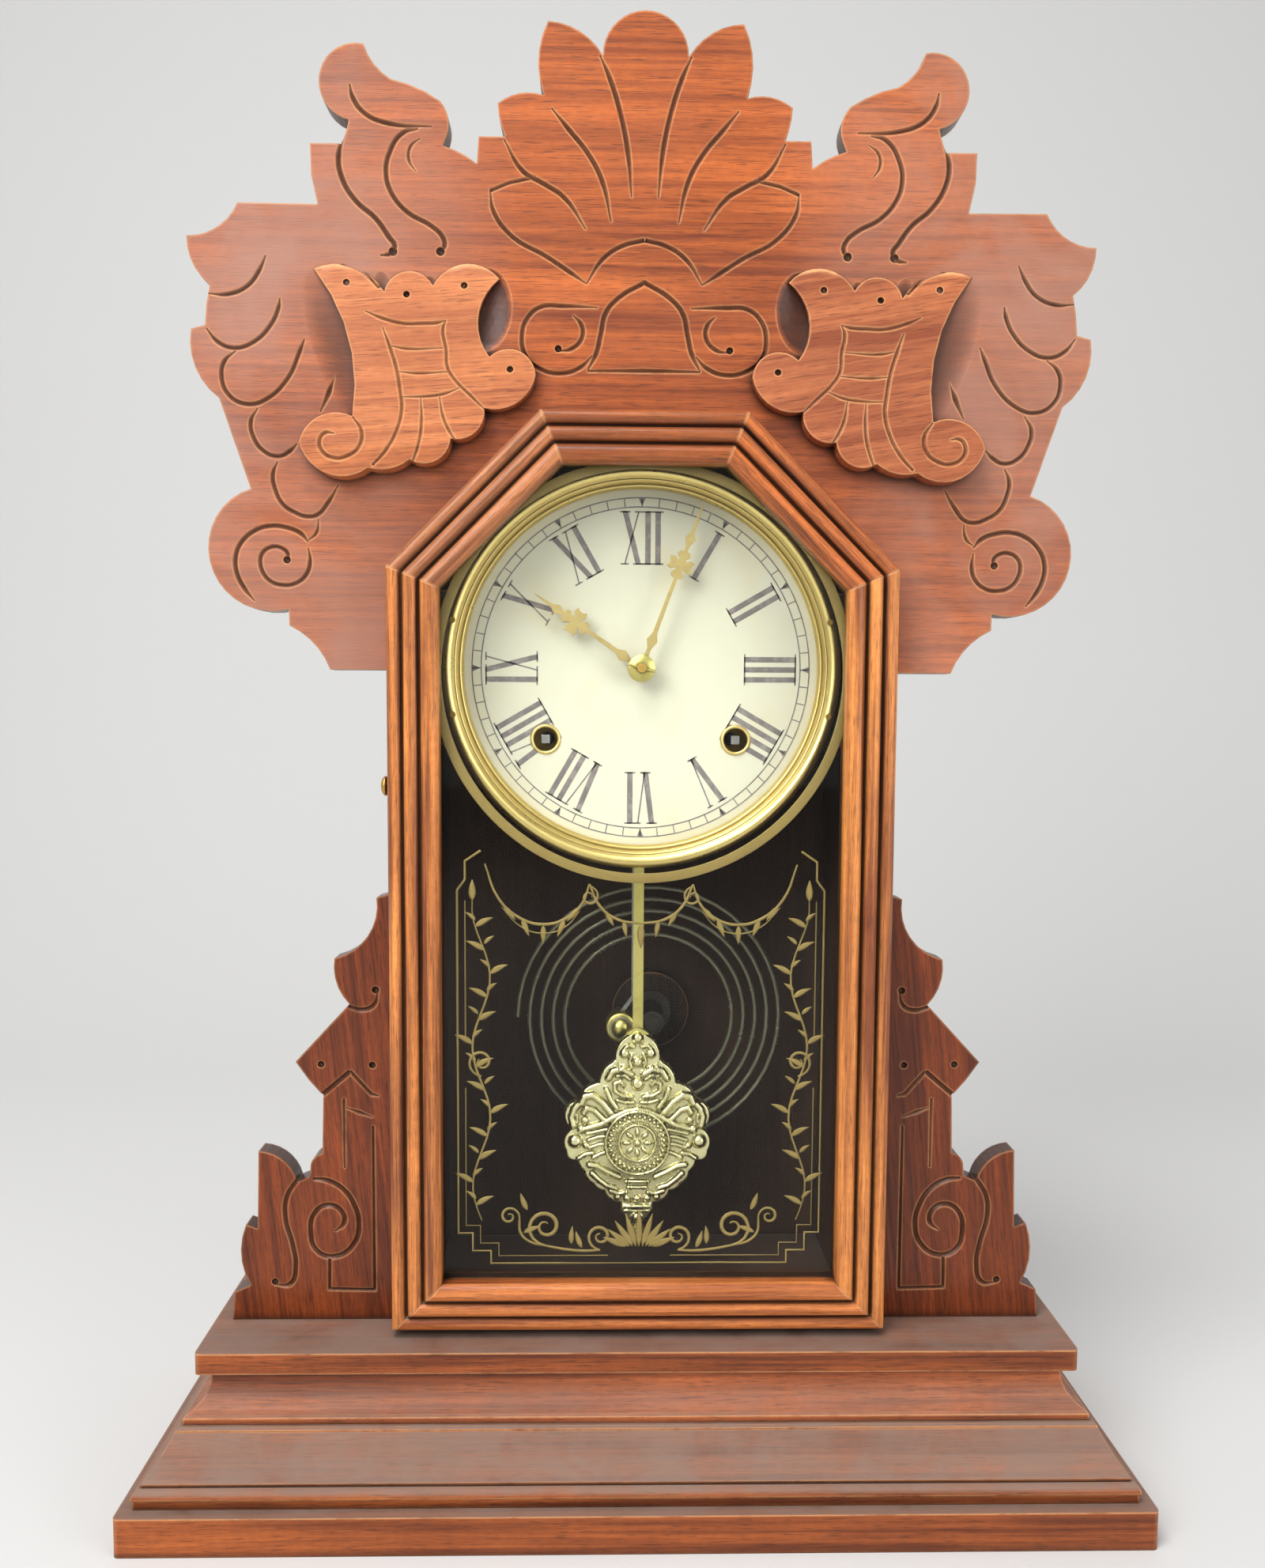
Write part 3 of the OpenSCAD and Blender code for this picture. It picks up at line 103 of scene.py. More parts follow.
# %% Node helpers
def feed(tree, node, feeds):
    """Links each named input to a socket, or sets it to a constant."""
    for key, value in feeds.items():
        if isinstance(value, bpy.types.NodeSocket):
            tree.links.new(value, node.inputs[key])
        else:
            node.inputs[key].default_value = value
    return node


def add(tree, kind, feeds=None, **settings):
    node = tree.nodes.new("ShaderNode" + kind)
    for key, value in settings.items():
        setattr(node, key, value)
    return feed(tree, node, feeds or {})


def calc(tree, how, a, b=0.0, clamp=False):
    return add(tree, "Math", {0: a, 1: b}, operation=how, use_clamp=clamp).outputs[0]


def times(tree, a, b):
    return calc(tree, "MULTIPLY", a, b)


def tint(tree, factor, a, b):
    return add(tree, "Mix", {0: factor, 6: a, 7: b}, data_type="RGBA").outputs[2]


def span(tree, value, low, high, to_low=0.0, to_high=1.0):
    feeds = {0: value, 1: low, 2: high, 3: to_low, 4: to_high}
    return add(tree, "MapRange", feeds).outputs[0]


def place_on(tree):
    """The piece's own coordinates, in metres."""
    return add(tree, "TexCoord").outputs["Object"]


def stretched(tree, vector, scale):
    return add(tree, "VectorMath", {0: vector, 1: scale}, operation="MULTIPLY").outputs[0]


def cloudy(tree, vector, scale, detail=3.0, rough=0.5, bend=0.0):
    feeds = {"Vector": vector, "Scale": scale, "Detail": detail, "Roughness": rough}
    return add(tree, "TexNoise", {**feeds, "Distortion": bend}).outputs[0]


def grainy(tree, vector, across, along, detail=3.0, rough=0.5, bend=0.0):
    return cloudy(tree, stretched(tree, vector, (across, across, along)), 1.0, detail, rough, bend)


def sheltered(tree, distance, samples):
    """Ambient occlusion: 1 in the open, less in a corner."""
    return add(tree, "AmbientOcclusion", {"Distance": distance}, samples=samples).outputs["AO"]


def effect(name, inputs, outputs):
    """An empty node group with named sockets, and its input and output nodes."""
    tree = bpy.data.node_groups.new(name, "ShaderNodeTree")
    kinds = {"value": "NodeSocketFloat", "colour": "NodeSocketColor", "vector": "NodeSocketVector"}
    for label, kind, default in inputs:
        socket = tree.interface.new_socket(label, in_out="INPUT", socket_type=kinds[kind])
        if default is not None:
            socket.default_value = default
    for label, kind in outputs:
        tree.interface.new_socket(label, in_out="OUTPUT", socket_type=kinds[kind])
    return tree, tree.nodes.new("NodeGroupInput").outputs, tree.nodes.new("NodeGroupOutput")


def use(tree, group, **feeds):
    return add(tree, "Group", feeds, node_tree=group).outputs


def new_finish(name):
    """A new material, its net of nodes and its shader."""
    material = bpy.data.materials.new(name)
    material.use_nodes = True
    return material, material.node_tree, material.node_tree.nodes["Principled BSDF"]


def colour(r, g, b):
    """A colour as a painter reads it off a screen, 0 to 255, in the renderer's own light."""
    straight = [(c / 255 / 12.92 if c <= 10 else ((c / 255 + 0.055) / 1.055) ** 2.4)
                for c in (r, g, b)]
    return (*straight, 1)


print("mid walnut in the renderer's light:", [round(c, 3) for c in colour(150, 84, 50)])

# %% [markdown]
# ## The studio
# A plain pale sweep, a floor that curves up into a wall, gives a calm background with no
# horizon. It is a few vertices extruded sideways. One large soft lamp from the upper left
# models the carving, a weaker one from the right opens the shadows, and a narrow one from
# above catches the edges. The world fills in the rest, and looks brighter to the camera,
# to glass and to polished metal than it is as a lamp.

# %% Floor and backdrop
HALF_WIDTH, FLOOR_END, CURVE, WALL_TOP = 5.0, 0.55, 0.7, 2.6


def verts_of(geometry):
    return [g for g in geometry if isinstance(g, bmesh.types.BMVert)]


sweep = bmesh.new()
profile = [(-HALF_WIDTH, 0.0), (FLOOR_END, 0.0)]
profile += [(FLOOR_END + CURVE * math.sin(a), CURVE - CURVE * math.cos(a))
            for a in [math.radians(7.5 * i) for i in range(1, 13)]]
profile += [(FLOOR_END + CURVE, WALL_TOP)]
line = [sweep.verts.new((-HALF_WIDTH, y, z)) for y, z in profile]
edges = [sweep.edges.new(pair) for pair in zip(line, line[1:])]
grown = bmesh.ops.extrude_edge_only(sweep, edges=edges)["geom"]
bmesh.ops.translate(sweep, vec=(2 * HALF_WIDTH, 0, 0), verts=verts_of(grown))
bmesh.ops.recalc_face_normals(sweep, faces=sweep.faces)
if sweep.faces[0].normal.z < 0:
    bmesh.ops.reverse_faces(sweep, faces=sweep.faces)
for face in sweep.faces:
    face.smooth = True
sweep_mesh = bpy.data.meshes.new("backdrop")
sweep.to_mesh(sweep_mesh)
sweep.free()
backdrop = link(bpy.data.objects.new("backdrop", sweep_mesh))
pale, tree, shader = new_finish("pale_floor")
feed(tree, shader, {"Base Color": (0.72, 0.715, 0.70, 1), "Roughness": 0.75})
sweep_mesh.materials.append(pale)
print("backdrop faces:", len(sweep_mesh.polygons))

# %% Lamps and world
def softbox(name, place, aim_z, size, power):
    """A soft lamp that looks at a height on the clock's middle line."""
    lamp = bpy.data.lights.new(name, "AREA")
    lamp.shape = "RECTANGLE"
    lamp.size, lamp.size_y = size
    lamp.energy = power
    obj = link(bpy.data.objects.new(name, lamp))
    obj.location = place
    aim = Vector((0, 0, aim_z)) - Vector(place)
    obj.rotation_euler = aim.to_track_quat("-Z", "Y").to_euler()


softbox("key", (-0.95, -1.25, 1.15), 0.3, (0.9, 0.9), 17)
softbox("fill", (1.35, -1.1, 0.55), 0.28, (1.0, 1.2), 9.5)
softbox("top", (-0.35, -0.55, 1.55), 0.25, (0.8, 0.4), 11)
world = bpy.data.worlds.new("studio")
bpy.context.scene.world = world
world.use_nodes = True
sky = world.node_tree
rays = add(sky, "LightPath").outputs
seen = calc(sky, "MAXIMUM", rays["Is Camera Ray"], rays["Is Glossy Ray"])
seen = calc(sky, "MAXIMUM", seen, rays["Is Transmission Ray"])
as_lamp = feed(sky, sky.nodes["Background"], {"Color": (0.97, 0.98, 1.0, 1), "Strength": 0.5})
as_seen = add(sky, "Background", {"Color": (0.80, 0.80, 0.79, 1), "Strength": 1})
either = add(sky, "MixShader", {0: seen, 1: as_lamp.outputs[0], 2: as_seen.outputs[0]})
feed(sky, sky.nodes["World Output"], {0: either.outputs[0]})
bpy.context.scene.view_settings.view_transform = "Standard"

# %% [markdown]
# ## Walnut
# Walnut shows three things at once: broad figure that wanders along the board, fine fibre,
# and short dark pores, each a few millimetres long and a fraction of one wide. A picture of
# wood would repeat and would smear on edges, so the grain is made in space, from noise that
# is stretched along the grain. Contour lines of a smooth noise give the cathedral figure of
# a flat-sawn board. The group takes a vector whose Z runs along the grain.

# %% Timber group
timber, taken, given = effect("Timber", [
    ("Vector", "vector", None), ("Light", "colour", colour(190, 108, 62)),
    ("Dark", "colour", colour(96, 48, 28)), ("Figure", "value", 0.5), ("Pores", "value", 0.7)],
    [("Color", "colour"), ("Height", "value"), ("Patch", "value")])
along = taken["Vector"]
broad = span(timber, grainy(timber, along, 38, 2.6, 4.0, 0.55, 0.9), 0.3, 0.72)
rings = calc(timber, "SINE", times(timber, grainy(timber, along, 17, 1.5, 1.5, 0.4, 0.3), 85.0))
fibre = grainy(timber, along, 650, 11, 3.0, 0.6)
pore = span(timber, grainy(timber, along, 2300, 120, 1.0, 0.5), 0.57, 0.68)
patch = cloudy(timber, along, 21.0, 2.0, 0.5)
streaks = grainy(timber, along, 330, 9, 3.0, 0.65, 0.2)
streaks = span(timber, streaks, 0.36, 0.64, -0.45, 0.45)
mottle = span(timber, cloudy(timber, along, 330.0, 3.0, 0.7), 0.35, 0.65, 0.0, 0.22)
figure = calc(timber, "ADD", times(timber, broad, 0.62),
              times(timber, span(timber, rings, -1.0, 1.0), times(timber, taken["Figure"], 0.3)))
figure = calc(timber, "ADD", figure, span(timber, fibre, 0.3, 0.75, -0.12, 0.3))
figure = calc(timber, "ADD", figure, times(timber, streaks, taken["Figure"]), clamp=True)
grain = tint(timber, figure, taken["Dark"], taken["Light"])
deep_pore = tint(timber, 0.72, grain, (0.012, 0.006, 0.004, 1))
grain = tint(timber, times(timber, pore, taken["Pores"]), grain, deep_pore)
grain = tint(timber, span(timber, patch, 0.35, 0.7, 0.0, 0.36), grain, taken["Dark"])
feed(timber, given, {"Color": tint(timber, mottle, grain, taken["Dark"]), "Patch": patch,
                     "Height": calc(timber, "SUBTRACT", times(timber, fibre, 0.5), pore)})
print("timber nodes:", len(timber.nodes))

# %% [markdown]
# ## Wear, grime, dust and painted light
# A century of handling rubs the varnish off the sharp edges and leaves polish, dirt and
# dust in the corners. The Bevel node looks at the surface round a point: where its rounded
# normal leaves the true one, there is an edge, and the pale colour given there is partly
# wear and partly a painted highlight. Ambient occlusion tells an inside corner, which
# collects dirt and is given painted shade, from an outside one, which wears. Dust lies on
# what faces up. All three are groups that give masks, and each finish decides what to do
# with them.

# %% Groups for age
# Edge mask: worn edges of wood and brass, which also carry a painted highlight.
wear_and_glint, taken, given = effect("Edge wear", [("Radius", "value", 0.0008), ("Amount", "value", 1.0)],
                            [("Mask", "value"), ("Normal", "vector")])
rounded = add(wear_and_glint, "Bevel", {"Radius": taken["Radius"]}, samples=4).outputs[0]
flat = add(wear_and_glint, "NewGeometry").outputs["Normal"]
turn = add(wear_and_glint, "VectorMath", {0: rounded, 1: flat}, operation="DOT_PRODUCT").outputs["Value"]
chance = span(wear_and_glint, cloudy(wear_and_glint, place_on(wear_and_glint), 95.0, 4.0, 0.65), 0.22, 0.5)
bare_and_glint = times(wear_and_glint, span(wear_and_glint, turn, 0.998, 0.94),
             span(wear_and_glint, sheltered(wear_and_glint, 0.004, 4), 0.55, 0.92))
bare_and_glint = calc(wear_and_glint, "MULTIPLY", times(wear_and_glint, bare_and_glint, chance), taken["Amount"], clamp=True)
feed(wear_and_glint, given, {"Mask": bare_and_glint, "Normal": rounded})

# Sheltered corners: dirt gathers there, and in wood and paper this mask also paints shade.
grime_and_shade, taken, given = effect("Grime and shade", [("Distance", "value", 0.0045)], [("Mask", "value")])
feed(grime_and_shade, given, {"Mask": span(grime_and_shade, sheltered(grime_and_shade, taken["Distance"], 6), 0.9, 0.4)})

dust_group, taken, given = effect("Dust", [("Amount", "value", 1.0)], [("Mask", "value")])
normal = add(dust_group, "NewGeometry").outputs["Normal"]
up = add(dust_group, "SeparateXYZ", {0: normal}).outputs["Z"]
drifts = cloudy(dust_group, place_on(dust_group), 42.0, 5.0, 0.6, 0.5)
settled = times(dust_group, span(dust_group, up, 0.12, 0.55),
                span(dust_group, drifts, 0.28, 0.58, 0.55, 1.0))
settled = calc(dust_group, "MULTIPLY", settled, taken["Amount"], clamp=True)
feed(dust_group, given, {"Mask": settled})
print("groups for age:", wear_and_glint.name, grime_and_shade.name, dust_group.name)

# %% [markdown]
# ## Wood finishes
# The same walnut lies in different directions: upright in the stiles, across in the rails
# and the base, slanting in the shoulders of the door. One function builds them all. Its
# Mapping node turns the piece's own coordinates until Z runs along the grain. A haze of the
# varnish lies on the outer parts of the crest, and with it a painted sheen. Whatever is sunk
# below the face of the crest and wings is painted darker, as painted shade, and the inner
# faces of the case get a painted shade too. The varnish is a thin coat: shiny where it is
# whole, dull where dust has settled.

# %% Wood materials
SUNK_TO = 9.8
HAZE_AND_SHEEN_FROM, HAZE_AND_SHEEN_FULL = 0.045, 0.105
# Varnish haze with a painted sheen; near-black grime with painted shade; painted shade in grooves.
HAZE_AND_SHEEN, DIRT_AND_SHADE, GROOVE_SHADE = colour(168, 122, 104), colour(26, 13, 9), colour(58, 30, 20)
# Bare wood with a painted highlight; dust; painted shade inside the case.
BARE_WOOD_AND_GLINT, DUST, INSIDE_SHADE = colour(238, 172, 116), colour(138, 116, 104), colour(34, 20, 12)


def wood(name, light, dark, tilt=0.0, shift=(0, 0, 0), figure=0.5, wear_and_glint_amount=1.0, dust=0.0,
         shine=0.36, coat=0.18, haze_and_sheen=0.0, face=None, inside=None):
    _, tree, shader = new_finish(name)
    place = place_on(tree)
    along = add(tree, "Mapping", {"Vector": place, "Location": [s * MM for s in shift],
                                  "Rotation": (0, math.radians(tilt), 0)}).outputs[0]
    grain = use(tree, timber, Vector=along, Light=colour(*light), Dark=colour(*dark), Figure=figure)
    worn_and_glint = use(tree, wear_and_glint, Radius=0.0011, Amount=wear_and_glint_amount)
    dusty = use(tree, dust_group, Amount=dust)["Mask"]
    x, y, _ = add(tree, "SeparateXYZ", {0: place}).outputs
    sideways = calc(tree, "ABSOLUTE", x)
    outer = span(tree, sideways, HAZE_AND_SHEEN_FROM, HAZE_AND_SHEEN_FULL, 0.1, 1.0)
    bloom_and_sheen = span(tree, cloudy(tree, place, 13.0, 4.0, 0.6, 0.8), 0.38, 0.66, 0.25 * haze_and_sheen, haze_and_sheen)
    # A haze of the varnish, with a painted sheen, on the outer parts of the crest.
    surface = tint(tree, times(tree, bloom_and_sheen, outer), grain["Color"], HAZE_AND_SHEEN)
    # Painted shade, with some grime: sheltered corners and creases are darkened.
    surface = tint(tree, times(tree, use(tree, grime_and_shade)["Mask"], 0.95), surface, DIRT_AND_SHADE)
    # Painted shade: grooves and hollows below the face are darkened.
    if face is not None:
        sunk_shade = times(tree, span(tree, y, (face + 0.03) * MM, (face + 1.0) * MM, 0.0, 0.88),
                     span(tree, y, (face + SUNK_TO) * MM, (face + SUNK_TO - 0.5) * MM))
        surface = tint(tree, sunk_shade, surface, GROOVE_SHADE)
    # Bare wood on the edges: partly wear, partly a painted highlight.
    surface = tint(tree, worn_and_glint["Mask"], surface, BARE_WOOD_AND_GLINT)
    surface = tint(tree, dusty, surface, DUST)
    # Painted shade on the inner faces of the case.
    if inside is not None:
        half, front, back = inside
        between = span(tree, sideways, (half + 0.6) * MM, (half + 0.3) * MM)
        behind = span(tree, y, front * MM, (front + 0.6) * MM)
        before = span(tree, y, back * MM, (back - 0.6) * MM)
        inside_shade_mask = times(tree, times(tree, between, behind), before)
        surface = tint(tree, times(tree, inside_shade_mask, 0.86), surface, INSIDE_SHADE)
    rough = span(tree, grain["Patch"], 0.3, 0.7, shine - 0.06, shine + 0.12)
    rough = calc(tree, "ADD", rough, times(tree, dusty, 0.3))
    rough = calc(tree, "ADD", rough, times(tree, worn_and_glint["Mask"], 0.12), clamp=True)
    relief = add(tree, "Bump", {"Height": grain["Height"], "Strength": 0.22, "Distance": 0.0002,
                                "Normal": worn_and_glint["Normal"]}).outputs[0]
    feed(tree, shader, {"Base Color": surface, "Roughness": rough, "Normal": relief,
                        "Coat Weight": span(tree, dusty, 0.0, 0.6, coat, 0.0),
                        "Coat Roughness": 0.22, "Specular IOR Level": 0.25})


wood("walnut_crest", (226, 120, 56), (124, 56, 26), -90, (30, 0, 90), wear_and_glint_amount=0.75, haze_and_sheen=0.9,
     face=-19)
wood("walnut_wing", (168, 80, 36), (74, 32, 16), 6, (0, 40, 10), 0.3, wear_and_glint_amount=0.5, face=-19)
wood("walnut_across", (200, 106, 46), (106, 48, 22), -90, (0, 10, 60), 0.8, coat=0.3)
# The foot rail faces up and is painted lighter, as painted light from above.
wood("walnut_foot_rail_painted_light", (250, 152, 80), (138, 66, 30), -90, (5, 15, 10), 0.8, coat=0.3)
wood("walnut_stile_left", (255, 158, 78), (114, 53, 24), 0, (12, 0, 300), 1.0, coat=0.3)
# The right stile is painted lighter than the left, to make up for the shade the lamps leave on its
# reeds.
wood("walnut_stile_right_painted_light", (255, 162, 80), (128, 62, 28), 0, (40, 0, 120), 1.0, coat=0.3)
# The left shoulder is painted paler and greyer, as a painted sheen on its varnish.
wood("walnut_shoulder_left_painted_sheen", (238, 150, 92), (112, 58, 32), -45, (0, 0, 44), 1.0, coat=0.4)
wood("walnut_shoulder_right", (222, 122, 60), (96, 44, 20), 45, (0, 0, 77), 1.0, coat=0.3)
wood("walnut_case", (142, 80, 44), (74, 38, 22), 0, (5, 5, 0), inside=(84, -21.6, 64))
wood("walnut_case_across", (142, 80, 44), (74, 38, 22), -90)
wood("walnut_base", (206, 110, 50), (104, 48, 22), -90, (0, 30, 0), dust=0.85, shine=0.46)
wood("walnut_slab", (190, 100, 46), (92, 42, 20), -90, (70, 5, 5), dust=0.85, shine=0.44,
     inside=(90, -21.6, 64))
wood("walnut_cove", (214, 118, 64), (112, 54, 30), -90, (9, 50, 9), dust=0.42, shine=0.44)
wood("harp_wood", (236, 148, 90), (152, 80, 46), -86, (4, 8, 15), shine=0.4)
wood("harp_wood_right", (222, 136, 86), (140, 72, 44), -80, (4, 8, 15), shine=0.4)
# Wood dark with age, made darker still as painted shade inside the case.
wood("inner_wood", (58, 38, 22), (28, 17, 10), 0, (0, 3, 0), wear_and_glint_amount=0.3, coat=0.0, shine=0.75)
wood("back_wood", (134, 92, 56), (78, 48, 28), 0, (0, 3, 0), wear_and_glint_amount=0.5, coat=0.0, shine=0.7,
     inside=(300, -30, 69.7))
wood("inner_wood_across", (124, 84, 50), (70, 44, 26), -90, wear_and_glint_amount=0.3, coat=0.0, shine=0.75)
print("finishes so far:", len(bpy.data.materials))

# %% [markdown]
# ## Brass, steel, paper and glass
# Old brass is never one colour: it keeps a yellow shine where it was wiped, goes brown in
# its corners and dull in patches. So the metal's colour, its roughness and even how metallic
# it is follow the same patches. The dial is varnished paper with a little foxing. The glass
# is a plain pane; where it would cast a hard shadow it is left out with Light Path.

# %% Metals
def metal(name, clean, aged, dirt, shine, spots=0.6, relief=0.12, whole=1.0, dull=0.9):
    _, tree, shader = new_finish(name)
    place = place_on(tree)
    patches = cloudy(tree, place, 60.0, 5.0, 0.62, 0.4)
    specks = cloudy(tree, place, 520.0, 3.0, 0.6)
    fine = cloudy(tree, place, 900.0, 2.0, 0.5)
    corner = use(tree, grime_and_shade, Distance=0.003)["Mask"]
    worn_and_glint = use(tree, wear_and_glint, Radius=0.0003, Amount=0.7)
    age = calc(tree, "ADD", times(tree, span(tree, patches, 0.42, 0.72), spots),
               times(tree, span(tree, specks, 0.55, 0.72), 0.35 * spots), clamp=True)
    surface = tint(tree, age, colour(*clean), colour(*aged))
    surface = tint(tree, times(tree, corner, 0.8), surface, colour(*dirt))
    # Brighter edges: partly wear, partly a painted highlight.
    surface = tint(tree, worn_and_glint["Mask"], surface, colour(*[min(255, c + 18) for c in clean]))
    rough = calc(tree, "ADD", span(tree, age, 0.0, 1.0, shine, shine + 0.22),
                 span(tree, fine, 0.3, 0.7, -0.04, 0.06), clamp=True)
    dulled = span(tree, calc(tree, "MAXIMUM", age, corner), 0.0, 1.0, whole, dull)
    bumps = add(tree, "Bump", {"Height": fine, "Strength": relief, "Distance": 0.0001,
                               "Normal": worn_and_glint["Normal"]}).outputs[0]
    feed(tree, shader, {"Base Color": surface, "Roughness": rough, "Metallic": dulled,
                        "Normal": bumps})


metal("bezel_brass", (240, 216, 140), (206, 178, 104), (124, 96, 48), 0.3, 0.35, relief=0.05)
metal("hand_brass", (198, 176, 118), (152, 132, 84), (80, 58, 32), 0.42, 0.7, dull=0.75)
metal("bob_brass", (236, 228, 176), (184, 176, 116), (54, 46, 20), 0.2, 0.45)
metal("rod_brass", (206, 194, 116), (160, 142, 76), (88, 70, 34), 0.32)
metal("works_brass", (206, 168, 88), (150, 112, 56), (70, 50, 26), 0.36, 0.8)
metal("fitting_brass", (196, 158, 84), (140, 104, 52), (70, 48, 26), 0.38, 0.8)
metal("gong_steel", (116, 112, 92), (66, 62, 48), (30, 26, 20), 0.17, 0.5, whole=0.6, dull=0.4)
metal("works_steel", (158, 158, 156), (104, 100, 94), (46, 42, 38), 0.34)
# The winding arbors are darkened as painted shade inside the winding holes.
metal("arbor_steel_painted_shade", (52, 48, 42), (36, 32, 28), (20, 17, 14), 0.5, 0.8, whole=0.5, dull=0.3)
metal("gong_iron", (70, 66, 60), (48, 38, 30), (24, 20, 18), 0.5, 0.8, relief=0.4, dull=0.6)
metal("gilt", (206, 184, 104), (168, 144, 76), (110, 88, 44), 0.4, whole=0.45, dull=0.3)
print("finishes so far:", len(bpy.data.materials))

# %% Paper, ink and glass
DIAL_Z, DIAL_FACE, PAPER_EDGE = 320.0, -6.0, 70
PAPER, FOXED = colour(205, 202, 181), colour(206, 192, 150)
_, tree, shader = new_finish("dial_paper")
place = place_on(tree)
stains = cloudy(tree, place, 34.0, 6.0, 0.6, 0.6)
fibres = cloudy(tree, place, 1500.0, 2.0, 0.6)
centred = add(tree, "Mapping", {"Vector": place, "Location": (0, 0, -DIAL_Z * MM)}).outputs[0]
out = add(tree, "VectorMath", {0: stretched(tree, centred, (1, 0, 1))}, operation="LENGTH")
browned = span(tree, out.outputs["Value"], (PAPER_EDGE - 9) * MM, PAPER_EDGE * MM, 0.0, 0.45)
surface = tint(tree, span(tree, stains, 0.5, 0.78, 0.0, 0.55), PAPER, FOXED)
surface = tint(tree, browned, surface, FOXED)
# Painted shade, with some dirt: the paper darkens in sheltered corners round the bezel.
dirt_and_shade = times(tree, use(tree, grime_and_shade, Distance=0.004)["Mask"], 0.5)
surface = tint(tree, dirt_and_shade, surface, colour(134, 112, 80))
surface = tint(tree, span(tree, fibres, 0.3, 0.7, 0.0, 0.06), surface, colour(190, 180, 150))
bumps = add(tree, "Bump", {"Height": fibres, "Strength": 0.08, "Distance": 0.0001}).outputs[0]
feed(tree, shader, {"Base Color": surface, "Normal": bumps,
                    "Roughness": span(tree, stains, 0.3, 0.7, 0.42, 0.56)})

_, tree, shader = new_finish("dial_ink")
faded = cloudy(tree, place_on(tree), 260.0, 4.0, 0.65)
surface = tint(tree, span(tree, faded, 0.45, 0.8), colour(112, 104, 102), colour(156, 146, 138))
feed(tree, shader, {"Base Color": surface, "Roughness": span(tree, faded, 0.3, 0.7, 0.45, 0.6)})

_, tree, shader = new_finish("door_pane")
feed(tree, shader, {"Base Color": (0.96, 0.98, 0.96, 1), "Transmission Weight": 1.0,
                    "IOR": 1.2, "Roughness": 0.0})
clear = add(tree, "BsdfTransparent", {"Color": (0.97, 0.98, 0.97, 1)}).outputs[0]
shadow = add(tree, "LightPath").outputs["Is Shadow Ray"]
both = add(tree, "MixShader", {0: shadow, 1: shader.outputs[0], 2: clear})
feed(tree, tree.nodes["Material Output"], {"Surface": both.outputs[0]})
print("paper, ink and pane ready")

# %% [markdown]
# ## Dressing the CAD parts
# Many parts are finished as the CAD has them: boards, wheels, plates, hands and screws.
# These only need a finish. A table from finish to parts is the clearest way to say it,
# and it shows at once if a part was forgotten. The winding arbors are painted dark, as
# painted shade deep in the winding holes, except for the bright tips of their squares.

# %% Finishes of the CAD parts
dress = {
    "walnut_base": ["bottom_board", "base_moulding"], "walnut_slab": ["top_slab"],
    "walnut_cove": ["cove_moulding"], "walnut_crest": ["crest_board"],
    "walnut_wing": ["wing_left", "wing_right"], "harp_wood": ["crest_harp_left"],
    "harp_wood_right": ["crest_harp_right"], "walnut_case": ["case_sides", "case_shoulders"],
    "walnut_case_across": ["case_top"], "walnut_across": ["door_top_rail"],
    "walnut_foot_rail_painted_light": ["door_bottom_rail"], "walnut_stile_left": ["door_stile_left"],
    "walnut_stile_right_painted_light": ["door_stile_right"], "walnut_shoulder_left_painted_sheen": ["door_shoulder_left"],
    "walnut_shoulder_right": ["door_shoulder_right"], "back_wood": ["back_board"],
    "inner_wood": ["dial_cleats", "gong_block", "glass_strips"],
    "inner_wood_across": ["base_back_rail"], "dial_paper": ["dial_plate"],
    "bezel_brass": ["dial_bezel", "winding_grommets", "hand_washer"],
    "hand_brass": ["minute_hand", "hour_hand"], "rod_brass": ["rating_nut"],
    "bob_brass": ["pendulum_bob"], "fitting_brass": [
        "dial_nails", "case_hinge_leaves", "door_hinge_leaves", "latch_strike", "latch_knob"],
    "works_brass": [
        "movement_front_plate", "movement_back_plate", "movement_pillars", "suspension_post",
        "centre_arbor", "hour_wheel", "minute_wheel", "great_wheel_time", "second_wheel_time",
        "third_wheel_time", "escape_wheel", "great_wheel_strike", "pin_wheel", "warning_wheel",
        "fly"],
    "works_steel": ["mainsprings", "suspension_spring", "verge", "hammer"],
    "arbor_steel_painted_shade": ["winding_arbor_time", "winding_arbor_strike"],
    "gong_steel": ["gong_coil"], "gong_iron": ["gong_post"], "door_pane": ["door_glass"],
}
for finish, parts in dress.items():
    for part in parts:
        nodes[part].data.materials.clear()
        nodes[part].data.materials.append(bpy.data.materials[finish])


def second_finish(mesh, finish, low=-math.inf, high=math.inf, axis=2):
    """Gives another finish to the faces whose middles lie between two heights in mm."""
    mesh.materials.append(bpy.data.materials[finish])
    for polygon in mesh.polygons:
        if low * MM < polygon.center[axis] < high * MM:
            polygon.material_index = 1


for part in dress["arbor_steel_painted_shade"]:
    arbor = nodes[part].data
    tip = min(v.co.y for v in arbor.vertices) / MM
    second_finish(arbor, "works_steel", high=tip + 0.1, axis=1)
undressed = set(nodes) - {part for parts in dress.values() for part in parts}
print("parts without a finish:", sorted(undressed))

# %% [markdown]
# ## Making a piece
# Every new piece ends the same way: its points are merged, its faces made to point
# outwards, its sharp edges marked, and millimetres become metres. It then rides on the body
# of the clock that carries it. Where it stands for a part of the CAD model, it replaces
# that part.

# %% Finish a piece
def mesh_of(name, bm):
    """A mesh in metres from a bmesh in millimetres, which is freed."""
    bmesh.ops.scale(bm, vec=(MM, MM, MM), verts=bm.verts)
    mesh = bpy.data.meshes.new(name)
    bm.to_mesh(mesh)
    bm.free()
    return mesh


